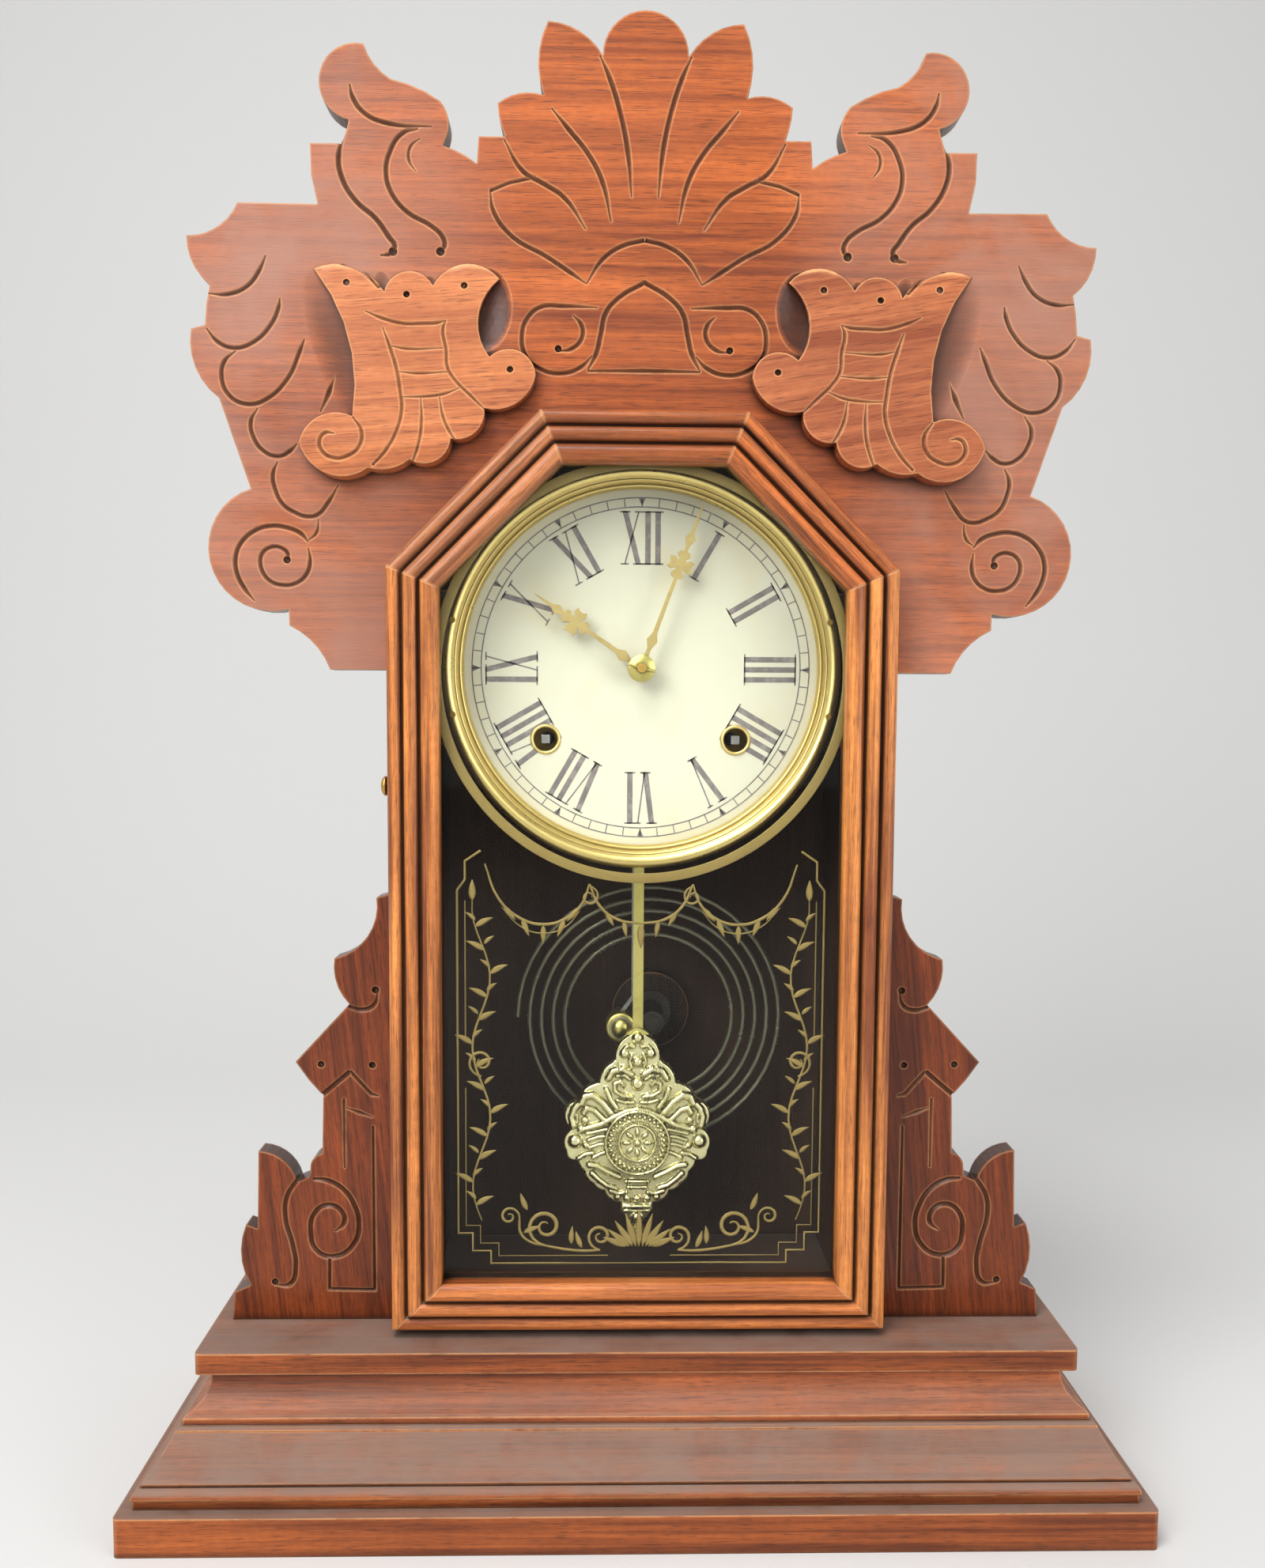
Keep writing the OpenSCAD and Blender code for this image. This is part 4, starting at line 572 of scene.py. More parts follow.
def rotate(bm, degrees, axis, verts=None):
    """Turns a bmesh, or some of its points, round an axis through the origin."""
    matrix = Matrix.Rotation(math.radians(degrees), 3, axis)
    bmesh.ops.rotate(bm, matrix=matrix, verts=bm.verts if verts is None else verts)


def finish_piece(name, bm, body, finish, sharp=32.0, replaced=None, loose=False):
    if not loose:
        bmesh.ops.remove_doubles(bm, verts=bm.verts, dist=0.0005)
        bmesh.ops.recalc_face_normals(bm, faces=bm.faces)
    for face in bm.faces:
        face.smooth = True
    for edge in bm.edges:
        if len(edge.link_faces) == 2 and edge.calc_face_angle(0) > math.radians(sharp):
            edge.smooth = False
    obj = link(bpy.data.objects.new(name, mesh_of(name, bm)))
    obj.data.materials.append(bpy.data.materials[finish])
    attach(obj, body)
    if replaced:
        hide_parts(replaced)
    print(name, len(obj.data.polygons), "faces")
    return obj


def strand(points, radii, sides=0, sharp=False):
    """A tube drawn in X and Z through the points, as a bmesh. With sides=0 it is a diamond."""
    data = bpy.data.curves.new("strand", "CURVE")
    data.dimensions = "3D"
    data.twist_mode = "Z_UP"
    data.bevel_depth = 1.0
    data.bevel_resolution = sides
    data.use_fill_caps = True
    data.resolution_u = 5
    spline = data.splines.new("POLY" if sharp else "BEZIER")
    knots = spline.points if sharp else spline.bezier_points
    knots.add(len(points) - 1)
    for knot, (x, z), r in zip(knots, points, radii):
        knot.co = (x, z, 0, 1) if sharp else (x, z, 0)
        knot.radius = r
        if not sharp:
            knot.handle_left_type = knot.handle_right_type = "AUTO"
    drawn = bpy.data.objects.new("strand", data)
    mesh = bpy.data.meshes.new_from_object(drawn)
    bm = bmesh.new()
    bm.from_mesh(mesh)
    bmesh.ops.remove_doubles(bm, verts=bm.verts, dist=1e-4)
    rotate(bm, 90, "X")
    bmesh.ops.recalc_face_normals(bm, faces=bm.faces)
    bpy.data.objects.remove(drawn)
    bpy.data.curves.remove(data)
    bpy.data.meshes.remove(mesh)
    return bm


def join(target, source):
    """Adds one bmesh to another and frees it."""
    passing = bpy.data.meshes.new("passing")
    source.to_mesh(passing)
    source.free()
    target.from_mesh(passing)
    bpy.data.meshes.remove(passing)


sample = strand([(0, 0), (10, 0), (20, 5)], [1, 1, 1])
print("a short strand has", len(sample.verts), "points and", len(sample.faces), "faces")
sample.free()

# %% [markdown]
# ## Carving the boards
# The crest was cut with a V-shaped tool pushed along drawn lines: petals, feathers and
# scrolls. Paint or bump could fake such lines from the front, but they would be flat from
# the side, so real grooves are cut. Each cutter is a tube with a diamond section whose
# middle runs along the board's face: the half inside the wood leaves a V. Its radius at
# each point is the groove's depth, small at the ends where the tool enters and leaves. The
# boolean takes all cutters at once, and works on a copy of the CAD board, so that the
# outline stays as it was.

# %% Cutters
CREST_FACE = -19.0
V_DEPTH = 0.84


def board_face(height):
    """Depth of the boards' face, which is the same at every height."""
    return CREST_FACE


def on_board(pixels):
    return [spot(px, py, CREST_FACE) for px, py in pixels]


def grooves(rows, place, shallow):
    """Lines on a board, the depths along them and whether they have corners.

    A row holds pixels, a depth and, if they differ, the shares of it at the start and end."""
    cuts = []
    for row in rows:
        pixels, depth, start, end, sharp = row + (shallow, shallow, False)[len(row) - 2:]
        line = place(pixels)
        last = len(line) - 1
        full = V_DEPTH * depth
        radii = [full * min(1.0, start + 0.9 * i, end + 0.9 * (last - i)) for i in range(last + 1)]
        cuts.append((line, radii, sharp))
    return cuts


def flipped(cuts, side):
    """The same grooves for a side: 1 as drawn on the left, -1 mirrored."""
    return [([(side * x, z) for x, z in line], radii, sharp) for line, radii, sharp in cuts]


def cutter_objects(cuts, face):
    """One object for each groove, with its middle on the face of the board."""
    made = []
    for line, radii, sharp in cuts:
        bm = strand(line, radii, sharp=sharp)
        for v in bm.verts:
            v.co.y += face(v.co.z)
        made.append(bpy.data.objects.new("cutter", mesh_of("cutter", bm)))
    return made


def scoop(place, size, tilt=0.0):
    """A flattened ball that takes a shallow hollow out of a face."""
    bm = bmesh.new()
    bmesh.ops.create_icosphere(bm, subdivisions=4, radius=1.0)
    bmesh.ops.scale(bm, vec=size, verts=bm.verts)
    rotate(bm, tilt, "Y")
    bmesh.ops.translate(bm, vec=place, verts=bm.verts)
    return bpy.data.objects.new("cutter", mesh_of("cutter", bm))


def open_edges(mesh):
    """How many edges don't have a face on both sides."""
    bm = bmesh.new()
    bm.from_mesh(mesh)
    count = sum(len(e.link_faces) != 2 for e in bm.edges)
    bm.free()
    return count


def carve(name, part, cutters, finish, lean=None):
    """A merged copy of a CAD board, cut by all the cutters, that takes the board's place."""
    bm = bmesh.new()
    bm.from_mesh(nodes[part].data)
    bmesh.ops.remove_doubles(bm, verts=bm.verts, dist=1e-6)
    if lean:
        for v in bm.verts:
            if v.co.y < (CREST_FACE - 0.1) * MM:
                v.co.y = lean(v.co.z / MM) * MM
    bmesh.ops.dissolve_limit(bm, angle_limit=0.002, verts=bm.verts, edges=bm.edges)
    mesh = bpy.data.meshes.new(name)
    bm.to_mesh(mesh)
    bm.free()
    board = link(bpy.data.objects.new(name, mesh))
    bag = bpy.data.collections.new("cutters")
    bpy.context.scene.collection.children.link(bag)
    for cutter in cutters:
        bag.objects.link(cutter)
    cut = board.modifiers.new("carving", "BOOLEAN")
    cut.operation = "DIFFERENCE"
    cut.operand_type = "COLLECTION"
    cut.collection = bag
    cut.solver = "EXACT"
    bpy.context.view_layer.update()
    carved = board.evaluated_get(bpy.context.evaluated_depsgraph_get())
    result = bpy.data.meshes.new_from_object(carved)
    board.modifiers.remove(cut)
    board.data = result
    for cutter in cutters:
        bpy.data.objects.remove(cutter)
    bpy.data.collections.remove(bag)
    result.materials.clear()
    result.materials.append(bpy.data.materials[finish])
    for polygon in result.polygons:
        polygon.material_index = 0
        polygon.use_smooth = False
    result.name = name
    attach(board, "case")
    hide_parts(part)
    print(name, len(result.polygons), "faces,", open_edges(result), "open edges")


def carve_pair(kind, part, cuts, dots, deep, face, finishes, lean=None):
    """Carves the left and the right twin of a board; a dot is x, z and its radius."""
    for side, word, finish in zip((1, -1), ("left", "right"), finishes):
        cutters = cutter_objects(flipped(cuts, side), face)
        cutters += [scoop((side * x, face(z), z), (r, deep, r)) for x, z, r in dots]
        carve(f"carved_{kind}_{word}", f"{part}_{word}", cutters, finish, lean)


sample = grooves([([(700, 400), (720, 410), (740, 400)], 1.2)], on_board, 0.35)
print("depths along a sample groove in mm:", [round(r, 2) for r in sample[0][1]])

# %% [markdown]
# ## The crest
# A fan of petals stands over an arch and a bell-shaped panel with a small scroll on each
# side. Feathered scrolls fill the outer thirds, and a horn curls at each upper corner. The
# lines are drawn for the left half and mirrored. The dots at the ends of scrolls are pressed
# in with small balls, and the shallow hollows beside the two applied harps are scooped with
# large flattened ones, whose middles lie in front of the face.

# %% Carve the crest
crest_rows = [
    ([(759, 70), (771, 98), (784, 140), (794, 191), (799, 250)], 1.3),
    ([(698, 137), (719, 163), (745, 196), (762, 230), (773, 281)], 1.3),
    ([(638, 177), (661, 216), (689, 233), (714, 250), (741, 290)], 1.3),
    ([(677, 224), (644, 231), (620, 241)], 1.0, 1.0, 1.0, True),
    ([(620, 241), (624, 267), (649, 300), (689, 323), (722, 345), (742, 359)], 1.2),
    ([(742, 359), (762, 328), (787, 311), (815, 304)], 1.2, 0.35, 1.0),
    ([(816, 357), (782, 377), (766, 396), (760, 422), (754, 447), (743, 469)], 1.3, 1.0),
    ([(743, 469), (818, 469)], 1.1, 0.6, 1.0, True),
    ([(756, 389), (712, 387), (684, 388), (667, 402), (660, 424), (666, 453), (684, 467),
      (712, 472), (735, 464), (749, 450)], 1.2),
    ([(725, 399), (735, 410), (736, 427), (723, 441), (707, 444)], 1.2),
    ([(442, 106), (446, 123), (461, 143), (492, 156), (546, 160)], 1.3),
    ([(436, 168), (428, 196), (432, 224), (450, 254), (475, 276), (492, 300), (499, 311),
      (494, 320), (481, 323)], 1.4),
    ([(529, 163), (509, 168), (492, 194), (488, 219), (495, 244), (515, 268), (546, 286),
      (560, 300), (562, 311), (555, 320)], 1.3),
    ([(531, 175), (519, 185), (517, 202), (526, 217)], 0.9),
    ([(264, 371), (287, 372), (312, 362), (327, 343), (336, 323)], 1.2),
    ([(261, 415), (275, 432), (296, 440), (321, 432), (342, 411), (352, 389), (354, 377)], 1.2),
    ([(298, 444), (284, 456), (280, 475), (289, 499), (312, 511), (336, 505), (364, 478),
      (379, 444), (385, 429)], 1.2),
    ([(326, 516), (317, 533), (321, 554), (333, 570), (352, 577), (367, 570), (376, 561)], 1.2),
    ([(405, 521), (416, 496), (425, 469)], 1.4),
    ([(351, 584), (345, 599), (348, 619), (358, 638), (373, 648), (387, 653), (401, 651),
      (415, 635), (428, 613)], 1.2),
    ([(403, 656), (400, 674), (389, 684)], 1.0),
    ([(390, 686), (381, 675), (362, 667), (342, 665), (322, 671), (305, 686), (298, 703),
      (299, 723), (309, 744), (322, 760)], 1.3),
    ([(390, 693), (392, 711), (387, 727), (373, 738), (358, 740), (342, 735), (332, 723),
      (329, 709), (332, 699), (342, 692), (356, 693), (364, 701), (363, 709)], 1.2)]
crest_cuts = grooves(crest_rows, on_board, 0.35)
crest_cutters = cutter_objects(crest_cuts + flipped(crest_cuts, -1), board_face)
pressed_dots = [(706, 441, 1.3, 1.6, 1.3, 0), (497, 318, 1.6, 1.6, 1.6, 0),
                (557, 318, 1.6, 1.6, 1.6, 0), (363, 708, 1.4, 1.4, 1.4, 0)]
hollows = [(614, 392, 10.0, 2.6, 15.5, 5), (430, 440, 10.0, 0.75, 30, -19),
           (484, 358, 3.2, 0.6, 4.5, -20), (544, 358, 2.2, 0.5, 2.6, 0)]
for rows, forward, deeper, wider in ((pressed_dots, 0, 1, 1), (hollows, 3, 4, 1.5)):
    for px, py, half, deep, tall, tilt in rows:
        x, z = spot(px, py, CREST_FACE)
        size = (half * wider, deep * deeper, tall * wider)
        for side in (1, -1):
            middle = (side * x, CREST_FACE - forward * deep, z)
            crest_cutters.append(scoop(middle, size, side * tilt))
carve("carved_crest", "crest_board", crest_cutters, "walnut_crest")

# %% [markdown]
# ## The harps
# Two harps of paler wood are applied on the crest. Each is thick at its foot and thins out
# to nothing at its crown, so its face leans back. Its lines are first drawn flat, and then
# every cutter is pushed back by the same lean, which keeps the depth of the grooves even.
# To place a pixel on the leaning face, we guess a depth, see how high the point comes out,
# and correct the depth a few times.

# %% Carve the harps
HARP_FOOT, HARP_THICK, HARP_THIN, HARP_LEAN = 400.1, 9.0, 0.15, 0.133
FIRST_GUESS = -26.0


def harp_face(z):
    """Depth of the harp's face at a height: level at the foot, leaning back above it."""
    return CREST_FACE - max(HARP_THIN, HARP_THICK - max(0.0, z - HARP_FOOT) * HARP_LEAN)


def on_harp(pixels):
    line = []
    for px, py in pixels:
        depth = FIRST_GUESS
        for step in range(4):
            x, z = spot(px, py, depth)
            depth = harp_face(z)
        line.append((x, z))
    return line


harp_cuts = grooves([
    ([(446, 527), (457, 545), (454, 564), (440, 576), (422, 579), (407, 570), (404, 556),
      (411, 547), (423, 548)], 1.1),
    ([(462, 393), (480, 401), (510, 409), (532, 409), (553, 408), (564, 405)], 1.0),
    ([(564, 405), (560, 416), (564, 441), (566, 465), (575, 480), (597, 502), (612, 517)], 0.95),
    ([(484, 414), (493, 439), (501, 465), (506, 495), (508, 517), (501, 545), (488, 569),
      (471, 588)], 1.0, 0.4, 0.8),
    ([(493, 437), (514, 441), (560, 440)], 0.85),
    ([(504, 470), (527, 472), (569, 470)], 0.85),
    ([(506, 502), (543, 501), (562, 498), (582, 490)], 0.85),
    ([(532, 503), (533, 530), (530, 558), (521, 586)], 0.9, 0.4, 0.8),
    ([(556, 502), (560, 526), (567, 543), (575, 556)], 0.9, 0.4, 0.8),
    ([(430, 334), (452, 340), (466, 350), (479, 364)], 0.9, 0.2, 1.0),
    ([(479, 364), (484, 352), (490, 340)], 0.9, 1.0, 0.2),
    ([(536, 346), (544, 353), (552, 347)], 0.7)], on_harp, 0.4)
harp_dots = [(x, z, 1.25) for x, z in on_harp([(438, 357), (514, 372), (587, 361), (645, 467)])]
carve_pair("harp", "crest_harp", harp_cuts, harp_dots, 1.6, harp_face,
           ("harp_wood", "harp_wood_right"), harp_face)

# %% [markdown]
# ## The wings
# A wing stands on each side of the case. It has a long S, a curled scroll like a fiddle's
# head, a sunk upright panel, a small roof line and four punched dots. Straight lines with
# real corners are drawn as such, so that the cutter doesn't round them.

# %% Carve the wings
wing_cuts = grooves([
    ([(376, 1492), (363, 1513), (361, 1541), (370, 1574), (374, 1602), (367, 1624),
      (349, 1625)], 1.3, 0.9),
    ([(396, 1491), (414, 1493), (434, 1504), (449, 1526), (454, 1549), (447, 1574),
      (424, 1589), (401, 1582), (393, 1559), (398, 1534), (415, 1524), (432, 1532),
      (435, 1547), (424, 1557)], 1.35, 0.6),
    ([(417, 1592), (417, 1630), (474, 1631), (472, 1424)], 1.2, 0.8, 0.6, True),
    ([(435, 1389), (436, 1477)], 1.1, 0.7, 0.5, True),
    ([(438, 1401), (455, 1407), (472, 1413)], 1.0),
    ([(406, 1386), (443, 1355)], 1.3, 1.0, 1.0, True),
    ([(443, 1355), (470, 1384), (479, 1386)], 1.0, 1.0, 0.6, True),
    ([(441, 1273), (458, 1277), (473, 1271), (478, 1254)], 1.2, 0.8)], on_board, 0.35)
wing_dots = [(*on_board([dot])[0], r) for dot, r in
             [((406, 1346), 1.3), ((471, 1347), 1.3), ((475, 1252), 1.4), ((348, 1621), 1.3)]]
carve_pair("wing", "wing", wing_cuts, wing_dots, 1.5, board_face, ("walnut_wing",) * 2)

# %% [markdown]
# ## Turned parts
# Everything round on this clock was turned on a lathe: the bezel, the rings round the
# winding holes, the hands' collet, the hammer's cap. The spin operator works like that
# lathe. It takes a profile of a few points, given as radius and distance along the axis, and
# sweeps it round. Where the profile touches the axis, the points fall together and are
# merged.

# %% The lathe
def turned(profile, steps, place, lay=None):
    """Spins a profile of (radius, distance forward) points round the Y axis.

    It can then be laid another way, by degrees about an axis, and is moved to its place."""
    bm = bmesh.new()
    ring = [bm.verts.new((r, -out, 0)) for r, out in profile]
    lines = [bm.edges.new(pair) for pair in zip(ring, ring[1:])]
    bmesh.ops.spin(bm, geom=ring + lines, cent=(0, 0, 0), axis=(0, 1, 0), dvec=(0, 0, 0),
                   angle=2 * math.pi, steps=steps, use_merge=True)
    bmesh.ops.remove_doubles(bm, verts=bm.verts, dist=0.0005)
    if lay:
        rotate(bm, *lay)
    bmesh.ops.translate(bm, vec=place, verts=bm.verts)
    bmesh.ops.recalc_face_normals(bm, faces=bm.faces)
    return bm


def bulge(centre_r, centre_out, radius, start, end, count=7):
    """Points of a round moulding in a profile, from one angle to another in degrees."""
    angles = [math.radians(start + (end - start) * i / (count - 1)) for i in range(count)]
    return [(centre_r + radius * math.cos(a), centre_out + radius * math.sin(a)) for a in angles]


HOLE_X, HOLE_Z = 37.2, 292.5
COLLET_BACK, PIN_Y = -14.6, -16.7
HAMMER_HEAD = (-6.7, 22.0, 171.0)
bezel = [(69.0, 0.0), (69.0, 0.9), (69.6, 1.5)] + bulge(70.2, 1.5, 0.55, 160, 20)
bezel += [(71.0, 1.7), (71.1, 2.5), (71.7, 2.9)] + bulge(72.2, 2.9, 0.42, 150, 30)
bezel += [(72.9, 3.4), (73.6, 4.3), (74.4, 4.85), (75.3, 4.98), (76.3, 4.6), (77.2, 3.7),
          (77.8, 2.4), (78.0, 1.0), (78.0, 0.0), (69.0, 0.0)]
finish_piece("bezel_ring", turned(bezel, 160, (0, DIAL_FACE, DIAL_Z)), "case", "bezel_brass",
             50, "dial_bezel")

eyelets = bmesh.new()
eyelet = [(4.6, -1.0), (4.6, 0.35)] + bulge(5.25, 0.2, 0.65, 165, 20)
eyelet += [(6.0, 0.0), (5.0, 0.0), (5.0, -1.0), (4.6, -1.0)]
for side in (-1, 1):
    join(eyelets, turned(eyelet, 48, (side * HOLE_X, DIAL_FACE, HOLE_Z)))
finish_piece("winding_eyelets", eyelets, "case", "bezel_brass", 50, "winding_grommets")

collet = turned([(1.85, 0.0), (5.2, 0.0), (5.2, 0.25), (4.6, 0.55), (3.6, 1.05), (2.4, 1.4),
                 (1.85, 1.4), (1.85, 0.0)], 48, (0, COLLET_BACK, DIAL_Z))
pin = turned([(0.0, 0.0), (0.62, 0.0), (0.62, 0.2), (0.42, 10.6), (0.0, 10.8)], 16,
             (5.4, 0, 0), (-90, "Z"))
rotate(pin, 14, "Y")
bmesh.ops.translate(pin, vec=(0, PIN_Y, DIAL_Z), verts=pin.verts)
join(collet, pin)
finish_piece("hand_collet", collet, "minute_works", "rod_brass", 40, "hand_washer")

cap = [(6.25, -9.0), (6.25, 0.1), (5.9, 0.5), (5.0, 0.6), (4.9, 1.0)]
cap += bulge(0.0, -1.3, 4.6, 30, 90, 8) + [(0.0, -0.5), (4.8, -0.5), (4.8, -9.0), (6.25, -9.0)]
finish_piece("hammer_cap", turned(cap, 48, HAMMER_HEAD), "hammer_body", "rod_brass",
             45)

# %% [markdown]
# ## The dial's printing
# The numerals are printed on the paper, but ink has no thickness to speak of, so a print
# made of faces 0.07 mm above the paper is sharper than any texture and lights the same way.
# Roman numerals are made of three strokes: a heavy one, a light one, and thin serifs. All
# feet point to the middle. Four is written IIII, as on nearly every such dial. Where a
# numeral would run across a winding hole, it is punched out with the hole.

# %% Numerals and minute track
FOOT, TOP, HEAVY, LIGHT, SERIF = 40.2, 60.6, 2.1, 0.55, 0.55
PUNCH_R, INK_THICK, INK_GAP = 5.3, 0.06, 0.01
ADVANCE = {"I": 3.9, "V": 8.2, "X": 8.6}
NUMERALS = ["XII", "I", "II", "III", "IIII", "V", "VI", "VII", "VIII", "IX", "X", "XI"]


def stroke(bm, corners, turn):
    """One four-cornered stroke. Its u runs clockwise and its v outwards, at a clock angle."""
    s, c = math.sin(turn), math.cos(turn)
    bm.faces.new([bm.verts.new((v * s + u * c, DIAL_FACE, DIAL_Z + v * c - u * s))
                  for u, v in corners])


def bar(bm, low, high, width, turn, reach=1.1):
    """A slanting or upright stroke with a serif at each end."""
    half = width / 2
    stroke(bm, [(low - half, FOOT), (low + half, FOOT), (high + half, TOP), (high - half, TOP)],
           turn)
    for middle, edge, step in ((low, FOOT, SERIF), (high, TOP, -SERIF)):
        stroke(bm, [(middle - half - reach, edge), (middle + half + reach, edge),
                    (middle + half + reach, edge + step), (middle - half - reach, edge + step)],
               turn)


print_bm = bmesh.new()
for hour, word in enumerate(NUMERALS):
    turn = math.radians(30 * hour)
    u = -sum(ADVANCE[letter] for letter in word) / 2
    for letter in word:
        middle = u + ADVANCE[letter] / 2
        if letter == "I":
            bar(print_bm, middle, middle, HEAVY, turn)
        if letter == "V":
            bar(print_bm, middle, middle - 2.6, HEAVY, turn, 1.0)
            bar(print_bm, middle + 0.3, middle + 2.9, LIGHT, turn, 0.9)
        if letter == "X":
            bar(print_bm, middle + 2.6, middle - 2.6, HEAVY, turn, 1.0)
            bar(print_bm, middle - 2.7, middle + 2.7, LIGHT, turn, 1.3)
        u += ADVANCE[letter]
for minute in range(60):
    turn = math.radians(6 * minute)
    stroke(print_bm, [(-0.2, 62.4), (0.2, 62.4), (0.2, 65.6), (-0.2, 65.6)], turn)
    if minute % 5 == 0:
        stroke(print_bm, [(-0.2, 63.0), (0.2, 63.0), (1.35, 65.7), (-1.35, 65.7)], turn)
for radii in ((62.0, 62.45), (65.55, 66.0)):
    loops = []
    for r in radii:
        made = bmesh.ops.create_circle(print_bm, segments=180, radius=r)["verts"]
        rotate(print_bm, 90, "X", made)
        bmesh.ops.translate(print_bm, vec=(0, DIAL_FACE, DIAL_Z), verts=made)
        loops += list({e for v in made for e in v.link_edges})
    bmesh.ops.bridge_loops(print_bm, edges=loops)

# %% Holes and thickness of the print
corners = [math.pi * i / 8 for i in range(16)]
around_hole = [Vector((math.cos(a), 0, math.sin(a))) for a in corners]
for side in (-1, 1):
    hole = Vector((side * HOLE_X, DIAL_FACE, HOLE_Z))
    near = [f for f in print_bm.faces if (f.calc_center_median() - hole).length < 16]
    for out in around_hole:
        geometry = list({v for f in near for v in f.verts})
        geometry += list({e for f in near for e in f.edges}) + near
        split = bmesh.ops.bisect_plane(print_bm, geom=geometry, plane_co=hole + out * PUNCH_R,
                                       plane_no=out)["geom"]
        near = [g for g in split if isinstance(g, bmesh.types.BMFace)]
    punched = [f for f in near if all((f.calc_center_median() - hole).dot(out) < PUNCH_R
                                      for out in around_hole)]
    print("print faces punched out at a winding hole:", len(punched))
    bmesh.ops.delete(print_bm, geom=punched, context="FACES")
bmesh.ops.recalc_face_normals(print_bm, faces=print_bm.faces)
for face in print_bm.faces:
    face.normal_update()
    if face.normal.y > 0:
        face.normal_flip()
raised = bmesh.ops.extrude_face_region(print_bm, geom=print_bm.faces[:], use_keep_orig=True)
bmesh.ops.translate(print_bm, vec=(0, -INK_THICK, 0), verts=verts_of(raised["geom"]))
bmesh.ops.translate(print_bm, vec=(0, -INK_GAP, 0), verts=print_bm.verts)
finish_piece("dial_print", print_bm, "case", "dial_ink", loose=True)

# %% [markdown]
# ## The gong
# A steel wire wound into a flat spiral, held by a post in its middle. The CAD wire has six
# flat sides; here it is a curve with a round section, on the same path, turned into a mesh.

# %% Gong wire
GONG = (6.8, 42.0, 171.0)
INNER_R, PITCH, TURNS, WIRE, START_T = 33.84, 5.15, 4.75, 1.1, 0.024


def gong_point(t):
    a, r = math.radians(-90 + 360 * t), INNER_R + PITCH * t
    return r * math.cos(a), r * math.sin(a)


bend_from, bend_at, bend_to = (0.0, -INNER_R + 5.0), (0.0, -INNER_R), gong_point(START_T)
wire_line = [(0.0, -3.5), (0.0, -15.0), (0.0, -24.0)]
for i in range(8):
    t = i / 8
    wire_line.append(tuple((1 - t) ** 2 * a + 2 * t * (1 - t) * b + t * t * c
                           for a, b, c in zip(bend_from, bend_at, bend_to)))
wire_line += [gong_point(START_T + (TURNS - START_T) * i / 200) for i in range(201)]
gong_bm = strand(wire_line, [WIRE] * len(wire_line), sides=3, sharp=True)
bmesh.ops.translate(gong_bm, vec=GONG, verts=gong_bm.verts)
finish_piece("gong_wire", gong_bm, "case", "gong_steel", 60, "gong_coil")

# %% [markdown]
# ## The pendulum
# The bob was pressed from thin brass over a die, so its ornament has no hard edges. We
# press it the same way: a round grid of faces is laid inside the outline, and each point is
# pushed forward by the tallest ridge near it. A ridge is a short line with a width and a
# height, and every one has its mirrored twin. The grid follows the outline, so the rim
# stays smooth however fine the ornament is.

# %% Outline and ornament of the bob
BOB_Z, BOB_FRONT, BOB_BACK, TALLEST = 127.5, 5.0, 9.0, 2.8
rim = [(0, -34, 0), (2.6, -34, 0), (5.6, -30.4, 0), (6.6, -29.4, 0), (6.6, -25.8, 0),
       (9.8, -25.2, .3), (13.4, -20.9, .3), (18.2, -17.8, .3), (21.6, -12.8, .3),
       (24.6, -7.4, .2), (29.4, -3.8, .64), (27.5, 5, .42), (24.3, 18.3, .6), (15.7, 24.8, .3),
       (10, 33.5, .3), (9, 34.6, .5), (5.8, 43, .25), (0, 47.3, 0)]


def lobed(points, steps=9):
    """Joins the points by arcs; the third number of a point is the arc's bulge before it."""
    line = [points[0][:2]]
    for (x0, z0, _), (x1, z1, b) in zip(points, points[1:]):
        for i in range(1, steps + 1):
            t = i / steps
            lift = b * 2 * t * (1 - t)
            line.append((x0 + (x1 - x0) * t + (z1 - z0) * lift,
                         z0 + (z1 - z0) * t - (x1 - x0) * lift))
    return line


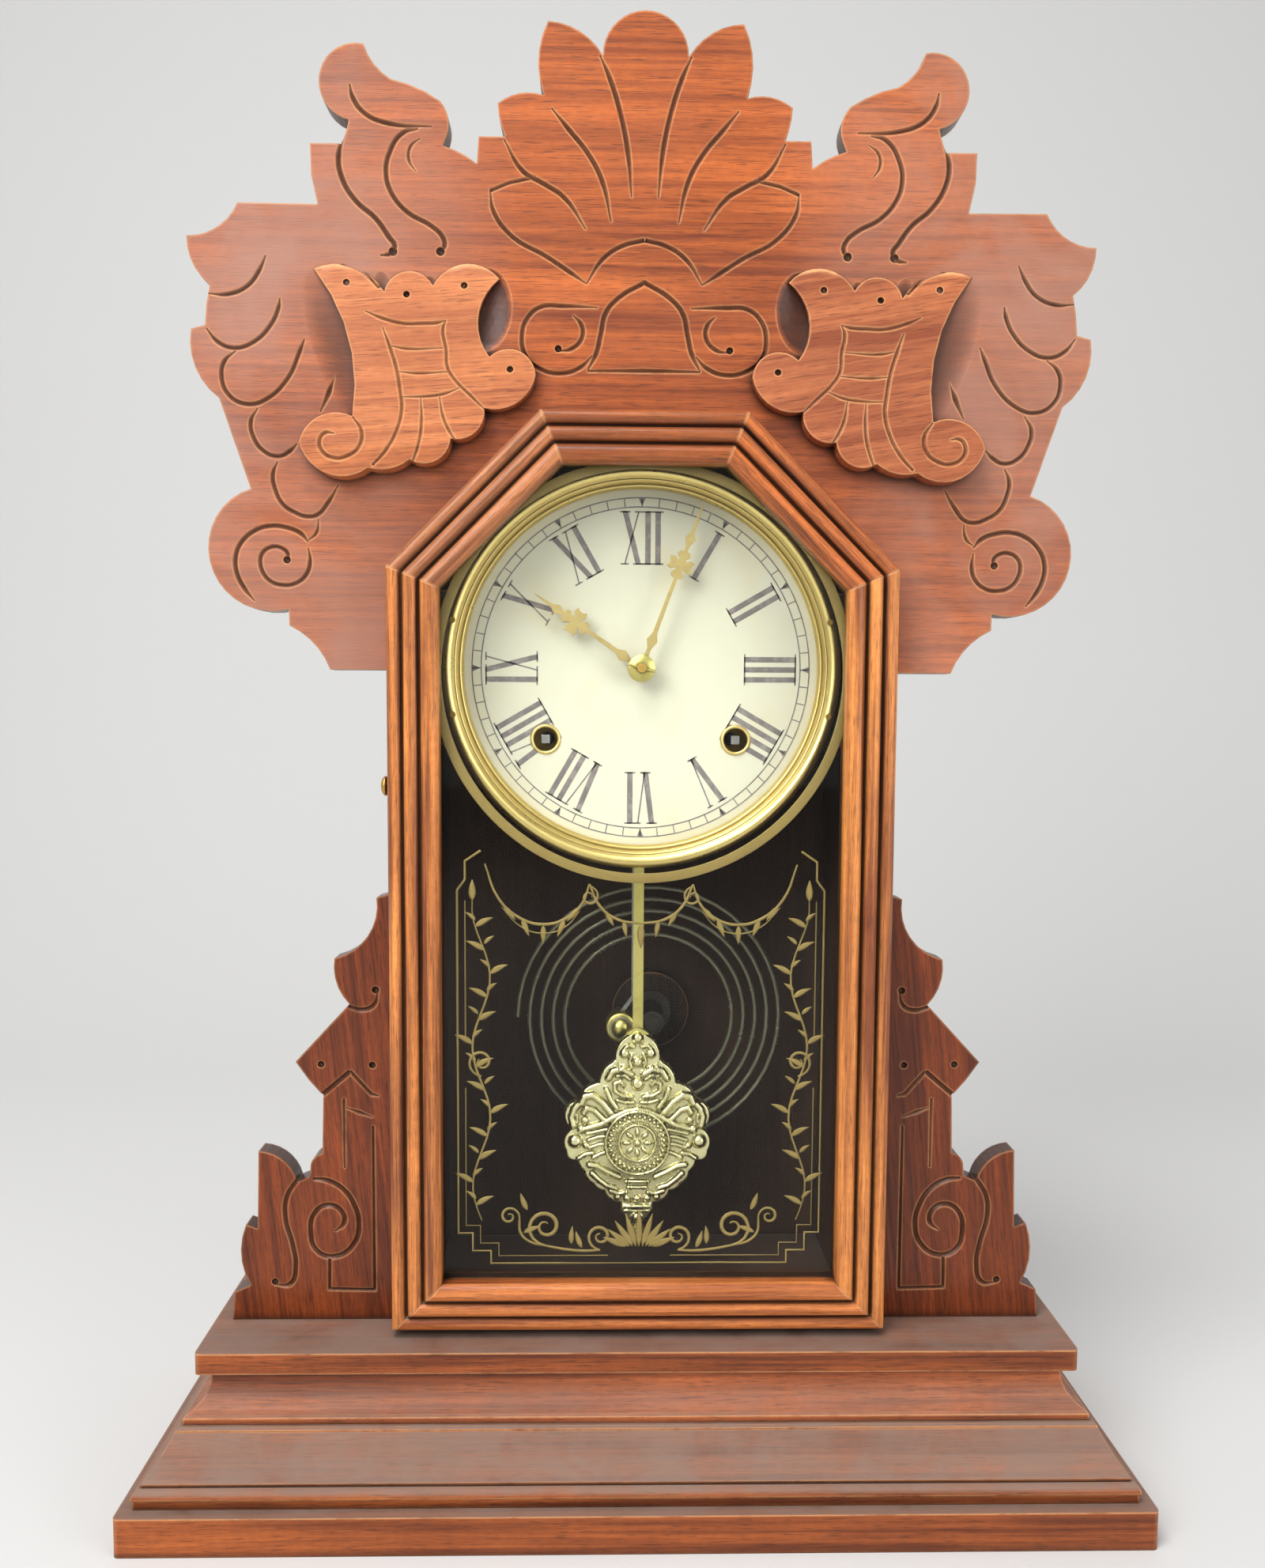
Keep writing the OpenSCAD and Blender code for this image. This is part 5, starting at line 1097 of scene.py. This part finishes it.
# Each ridge: its width and height, and then x and z of its points.
ridges = [
    (1.4, 1.7, 0, 13.8, 5, 12.8, 10, 10.5, 15, 7.6, 21, 5.8),
    (0.9, 1.3, 12, 5.7, 16, 4.8, 20.5, 3.7),
    (0.9, 1.2, 12.6, 2.7, 16, 2.3, 20, 1.0), (0.9, 1.1, 12.8, -0.6, 16, -0.9, 19.5, -2.2),
    (0.9, 1.1, 12.4, -3.7, 15, -4.7, 18, -6.4), (1.8, 1.7, 22.8, 5.4, 22.9, 5.5),
    (1.6, 1.5, 21.4, 9.2, 21.5, 9.3),
    (1.6, 2.0, 11, 12.6, 14.5, 16.8, 18.4, 19.8, 21.8, 19.2, 22.9, 16.4),
    (1.3, 1.6, 14, 9.8, 17.6, 13.4, 20.8, 14.4, 22, 12.4),
    (1.1, 1.4, 8.6, 14.6, 11, 18, 12.8, 22.2),
    (0.95, 1.5, 2.4, 19.2, 6, 19.5, 9.2, 21.5, 9.4, 24.6, 7, 25.6, 5.8, 23.8),
    (0.8, 1.2, 1.5, 16.8, 5, 16.7, 8.2, 17.7), (2.7, 2.1, 0, 24.4, 0, 24.5),
    (1.4, 1.8, 2.6, 28.6, 6, 30.6, 10.2, 29.8, 12, 26.8), (0.8, 1.2, 3.2, 26.4, 5.4, 28, 8.4, 27.8),
    (2.0, 1.7, 5.3, 37, 5.4, 37.1), (2.1, 1.7, 0, 33.4, 0, 33.5),
    (0.8, 1.3, 1.6, 39.8, 4.2, 40.4, 5.4, 39), (2.3, 2.0, 0, 43.4, 0, 43.5),
    (0.7, 1.1, 2.4, 31.2, 3.4, 34, 2.4, 36.6), (0.8, 1.4, 0, -16.3, 4.6, -16.3),
    (0.7, 1.1, 0, -18.8, 3.8, -18.8), (1.4, 1.8, 7.6, -14.4, 12, -12.4, 16.2, -10, 19.6, -9.4),
    (1.2, 1.5, 9, -19.2, 12.6, -18, 16, -15.4, 18.4, -13),
    (1.0, 1.3, 4.6, -21, 7.6, -21.6, 10.8, -20.4),
    (1.0, 1.4, 18.4, -4.4, 21.6, -5, 24, -6.6), (1.5, 1.6, 0, -23.6, 0, -23.5),
    (1.5, 1.6, 4.1, -23.5, 4.1, -23.4), (1.4, 1.5, 8, -23, 8, -22.9),
    (0.7, 1.3, 0, -26.8, 5.6, -26.8), (0.7, 1.3, 0, -28.6, 5.2, -28.6),
    (2.0, 1.6, 0, -31.8, 0, -31.7), (2.9, 2.5, 25.4, 0.4, 25.5, 0.5),
    (1.4, 1.3, 20.8, -1.4, 20.9, -1.3),
    (1.5, 1.6, 26.2, 7.0, 27.0, 10.4, 25.8, 14.0, 24.0, 16.0), (0.7, 1.1, 24.6, 8.4, 24.7, 11.6)]


def dome(away, width, tall):
    """Height of a round-topped ridge at a distance from its middle."""
    return tall * np.sqrt(np.clip(1 - (away / width) ** 2, 0, 1))


def pressed(x, z):
    """Height of the ornament at points (arrays in mm from the medallion's middle)."""
    x = np.abs(x)
    height = 0.55 * np.clip(1 - (x / 30) ** 2 - (z / 42) ** 2, 0, 1)
    ornament = np.zeros_like(x)
    for width, tall, *numbers in ridges:
        line = list(zip(numbers[::2], numbers[1::2]))
        away = np.full_like(x, 99.0)
        for (ax, az), (bx, bz) in zip(line, line[1:]):
            dx, dz = bx - ax, bz - az
            t = np.clip(((x - ax) * dx + (z - az) * dz) / (dx * dx + dz * dz), 0, 1)
            away = np.minimum(away, np.hypot(x - ax - t * dx, z - az - t * dz))
        ornament = np.maximum(ornament, dome(away, width, tall))
    r, a = np.hypot(x, z), np.arctan2(z, x)
    inside = np.clip((13.9 - r) / 0.4, 0, 1)
    disc = 0.55 + np.zeros_like(x)
    for ring, width, tall in ((7.5, 0.75, 1.8), (13.0, 0.8, 1.9), (9.2, 0.4, 1.1)):
        disc = np.maximum(disc, dome(r - ring, width, tall))
    beads = np.abs((a * 32 / (2 * np.pi)) % 1 - 0.5) * 2 * np.pi * 11 / 32
    disc = np.maximum(disc, dome(np.hypot(beads, r - 11.0), 0.98, 1.7))
    petals = np.abs((a * 8 / (2 * np.pi) + 0.5) % 1 - 0.5) * 2 * np.pi * r / 8
    petals = np.clip(1 - (petals / 1.15) ** 2 - ((r - 4.3) / 2.0) ** 2, 0, 1)
    disc = np.maximum(np.maximum(disc, 1.7 * np.sqrt(petals)), dome(r, 1.7, 2.2))
    disc = np.where(inside > 0, inside * disc + (1 - inside) * ornament, ornament)
    return np.minimum(height + disc, TALLEST)


print("ridges on the bob:", len(ridges))

# %% Press the bob
AROUND, ACROSS = 420, 84
RIM_WIDTH, RIM_DROP = 1.1, 1.2
right_side = lobed(rim)
edge_x, edge_z = np.array(right_side + [(-x, z) for x, z in right_side[-2:0:-1]]).T
edge_angle = np.arctan2(edge_z, edge_x)
order = np.argsort(edge_angle)
around = np.linspace(-np.pi, np.pi, AROUND, endpoint=False)
reach = np.interp(around, edge_angle[order], np.hypot(edge_x, edge_z)[order], period=2 * np.pi)
share = (np.arange(ACROSS) + 1) / ACROSS
grid_x = np.outer(share, reach * np.cos(around))
grid_z = np.outer(share, reach * np.sin(around))
near_rim = np.clip((np.outer(share, reach) - (reach - RIM_WIDTH)) / RIM_WIDTH, 0, 1)
rounding = np.sqrt(np.clip(1 - near_rim ** 2, 0, 1))
tall = pressed(grid_x, grid_z) * rounding
bob = bmesh.new()
bmesh.ops.create_grid(bob, x_segments=AROUND, y_segments=ACROSS - 1, size=1.0)
for v in bob.verts:
    i, j = round((v.co.x + 1) / 2 * AROUND) % AROUND, round((v.co.y + 1) / 2 * (ACROSS - 1))
    y = BOB_FRONT + RIM_DROP - RIM_DROP * rounding[j, i] - tall[j, i]
    v.co = (grid_x[j, i], y, grid_z[j, i] + BOB_Z)
bmesh.ops.remove_doubles(bob, verts=bob.verts, dist=0.0004)


def rim_of(bm):
    return [e for e in bm.edges if e.is_boundary]


middle = [e for e in rim_of(bob)
          if math.hypot(e.verts[0].co.x, e.verts[0].co.z - BOB_Z) < 2]
bmesh.ops.holes_fill(bob, edges=middle, sides=0)
for v in verts_of(bmesh.ops.extrude_edge_only(bob, edges=rim_of(bob))["geom"]):
    v.co.y = BOB_BACK
bmesh.ops.holes_fill(bob, edges=rim_of(bob), sides=0)
print("bob:", len(bob.faces), "faces, open edges:", len(rim_of(bob)))

# %% [markdown]
# The rod and the hook come from the CAD, with the plain bob cut off below them. The rod
# ends in a screw that carries the rating nut: rings of a zigzag profile stand for the
# thread, since nobody can count its turns at this size.

# %% Rod, screw and pendulum
ROD_FOOT = 172.2
SCREW_FOOT, THREADS, THREAD_PITCH = (0, 7, 94.6), 16, 0.64
rod = bmesh.new()
rod.from_mesh(nodes["pendulum_bob"].data)
bmesh.ops.scale(rod, vec=(1 / MM,) * 3, verts=rod.verts)
bmesh.ops.remove_doubles(rod, verts=rod.verts, dist=0.001)
bmesh.ops.bisect_plane(rod, geom=rod.verts[:] + rod.edges[:] + rod.faces[:],
                       plane_co=(0, 0, ROD_FOOT), plane_no=(0, 0, 1), clear_inner=True)
bmesh.ops.holes_fill(rod, edges=rim_of(rod), sides=0)
join(bob, rod)
thread = [(0.0, -0.5), (0.85, -0.5)]
for i in range(THREADS):
    thread += [(1.08, 0.3 + i * THREAD_PITCH), (0.86, 0.62 + i * THREAD_PITCH)]
join(bob, turned(thread + [(0.86, 11.2), (0.0, 11.2)], 20, SCREW_FOOT, (90, "X")))
pendulum = finish_piece("pressed_pendulum", bob, "pendulum", "bob_brass", 40,
                        "pendulum_bob")
second_finish(pendulum.data, "rod_brass", low=ROD_FOOT)

# %% [markdown]
# ## The gilt print on the glass
# Gold size was printed on the inner face of the door glass. On the real clock the print is
# one maker's picture, so a plain scrollwork of our own stands here, in the same dull gold
# and with lines of the same width: a thin frame with stepped corners, two climbing vines, a
# hanging garland under the dial and a shell between scrolls at the foot. All of it is lines
# with a swelling width, pressed nearly flat.

# %% Lines of the print
PRINT_Y, PRINT_THICK, HOOP_Z = -28.9, 0.06, 317.4
print_lines = []


def note(points, widths, corners=True, sides=(1, -1)):
    """Keeps one line of the print and its mirrored twin."""
    for side in sides:
        print_lines.append(([(side * x, z) for x, z in points], widths, corners))


def line_of(points, width=0.42, thin=0.0, corners=False):
    """A drawn line. Thin is the share taken off its width at the ends."""
    last = len(points) - 1
    widths = [width * (1 - thin * abs(2 * i / last - 1) ** 3) for i in range(last + 1)]
    note(points, widths, corners)


def leaf_of(x, z, angle, length, width, bend=0.0):
    """A leaf from its stalk, at an angle in degrees, swelling in the middle."""
    c, s = math.cos(math.radians(angle)), math.sin(math.radians(angle))
    points = []
    for t in [i / 6 for i in range(7)]:
        side = bend * length * t * t
        points.append((x + length * t * c - side * s, z + length * t * s + side * c))
    widths = [0.12 + width * math.sin(math.pi * (i / 6) ** 0.75) for i in range(7)]
    note(points, widths, sides=(1,) if x == 0 and abs(angle) == 90 else (1, -1))


def curl_of(x, z, first, last, start, turns, width, count=26):
    """A spiral round a centre, from one radius to another, in degrees and turns."""
    points = []
    for t in [i / (count - 1) for i in range(count)]:
        a, r = math.radians(start) + 2 * math.pi * turns * t, first + (last - first) * t ** 0.8
        points.append((x + r * math.cos(a), z + r * math.sin(a)))
    note(points, [width * (0.45 + 0.55 * math.sin(math.pi * min(1, 0.12 + i / count)))
                  for i in range(count)])


def stem_x(z):
    return 60.5 + 3.4 * math.sin((z - 108) / 8.6)


line_of([(0, 91), (57, 91), (57, 96), (64, 96), (64, 103), (69.5, 103), (69.5, 236),
         (66.5, 240), (66.5, 247), (60.5, 251)], 0.5, corners=True)
line_of([(12, 94), (54, 94), (54, 99), (61, 99), (61, 106), (66.5, 106), (66.5, 160)], 0.26,
        corners=True)
line_of([(66.5, 180), (66.5, 232)], 0.26, corners=True)
line_of([(stem_x(z), z) for z in range(108, 233, 4)], 0.45, 0.5, corners=True)
for i, z in enumerate(range(114, 228, 9)):
    lean = 1 if i % 2 else -1
    leaf_of(stem_x(z), z, 90 - lean * 48, 7.4, 1.05, -0.25 * lean)
    leaf_of(stem_x(z), z + 2.5, 90 + lean * 34, 4.6, 0.7, 0.3 * lean)
leaf_of(stem_x(232), 232, 90, 8.0, 1.3)
curl_of(60.5, 170, 5.6, 1.2, -90, 1.4, 0.6)
hang = [(59, 246), (54, 233), (46, 225.5), (37, 223), (28, 225.5), (22, 231.5), (19.6, 238.4)]
line_of(hang, 0.6, 0.4)
line_of([(x * 0.93 + 2.6, z - 3.4) for x, z in hang[1:-1]], 0.32, 0.6)
line_of([(19.6, 238.4), (15.6, 230), (9, 225), (0, 223.4)], 0.6, 0.3)
for leaf in ((52, 230, -130), (45, 225, -112), (37, 222.6, -90), (29, 224.8, -68),
             (23.4, 229.4, -48)):
    leaf_of(*leaf, 7.0, 1.0)
for leaf in ((13.4, 227.8, -120), (6.6, 224.3, -100)):
    leaf_of(*leaf, 6.2, 0.9)
leaf_of(0, 223.4, -90, 9.5, 1.3)
curl_of(19.6, 233.6, 4.0, 0.9, 90, 1.3, 0.5)
for i in range(5):
    leaf_of(i * 1.2, 97.5, 90 - i * 17, 15 - i * 1.3, 1.25)
curl_of(15, 101.5, 5.4, 1.0, -90, 1.5, 0.7)
curl_of(36, 105.5, 7.6, 1.4, -90, 1.6, 0.8)
line_of([(15, 96.1), (21, 95.8), (28, 96.4), (36, 97.9)], 0.6, 0.2)
curl_of(50, 109.5, 4.2, 0.8, 200, -1.4, 0.55)
line_of([(36, 97.9), (42, 99.5), (45.6, 103), (46.1, 108)], 0.55, 0.2)
for leaf in ((22, 97, 62), (26, 98.5, 84), (44.5, 103, 150), (43, 112, 60)):
    leaf_of(*leaf, 7.0, 1.0, 0.15)
print("lines in the print:", len(print_lines))

# %% Print on the glass
gilding = bmesh.new()
for points, widths, corners in print_lines:
    join(gilding, strand(points, widths, sharp=corners))
for v in gilding.verts:
    v.co.y = PRINT_Y + max(-PRINT_THICK, min(PRINT_THICK, v.co.y * 0.1))
hoop = [(74.9, -0.06), (74.9, 0.0), (75.3, 0.06), (78.2, 0.06), (78.6, 0.0), (78.6, -0.06),
        (74.9, -0.06)]
join(gilding, turned(hoop, 160, (0, PRINT_Y, HOOP_Z)))
finish_piece("gilt_print", gilding, "door", "gilt", 60)
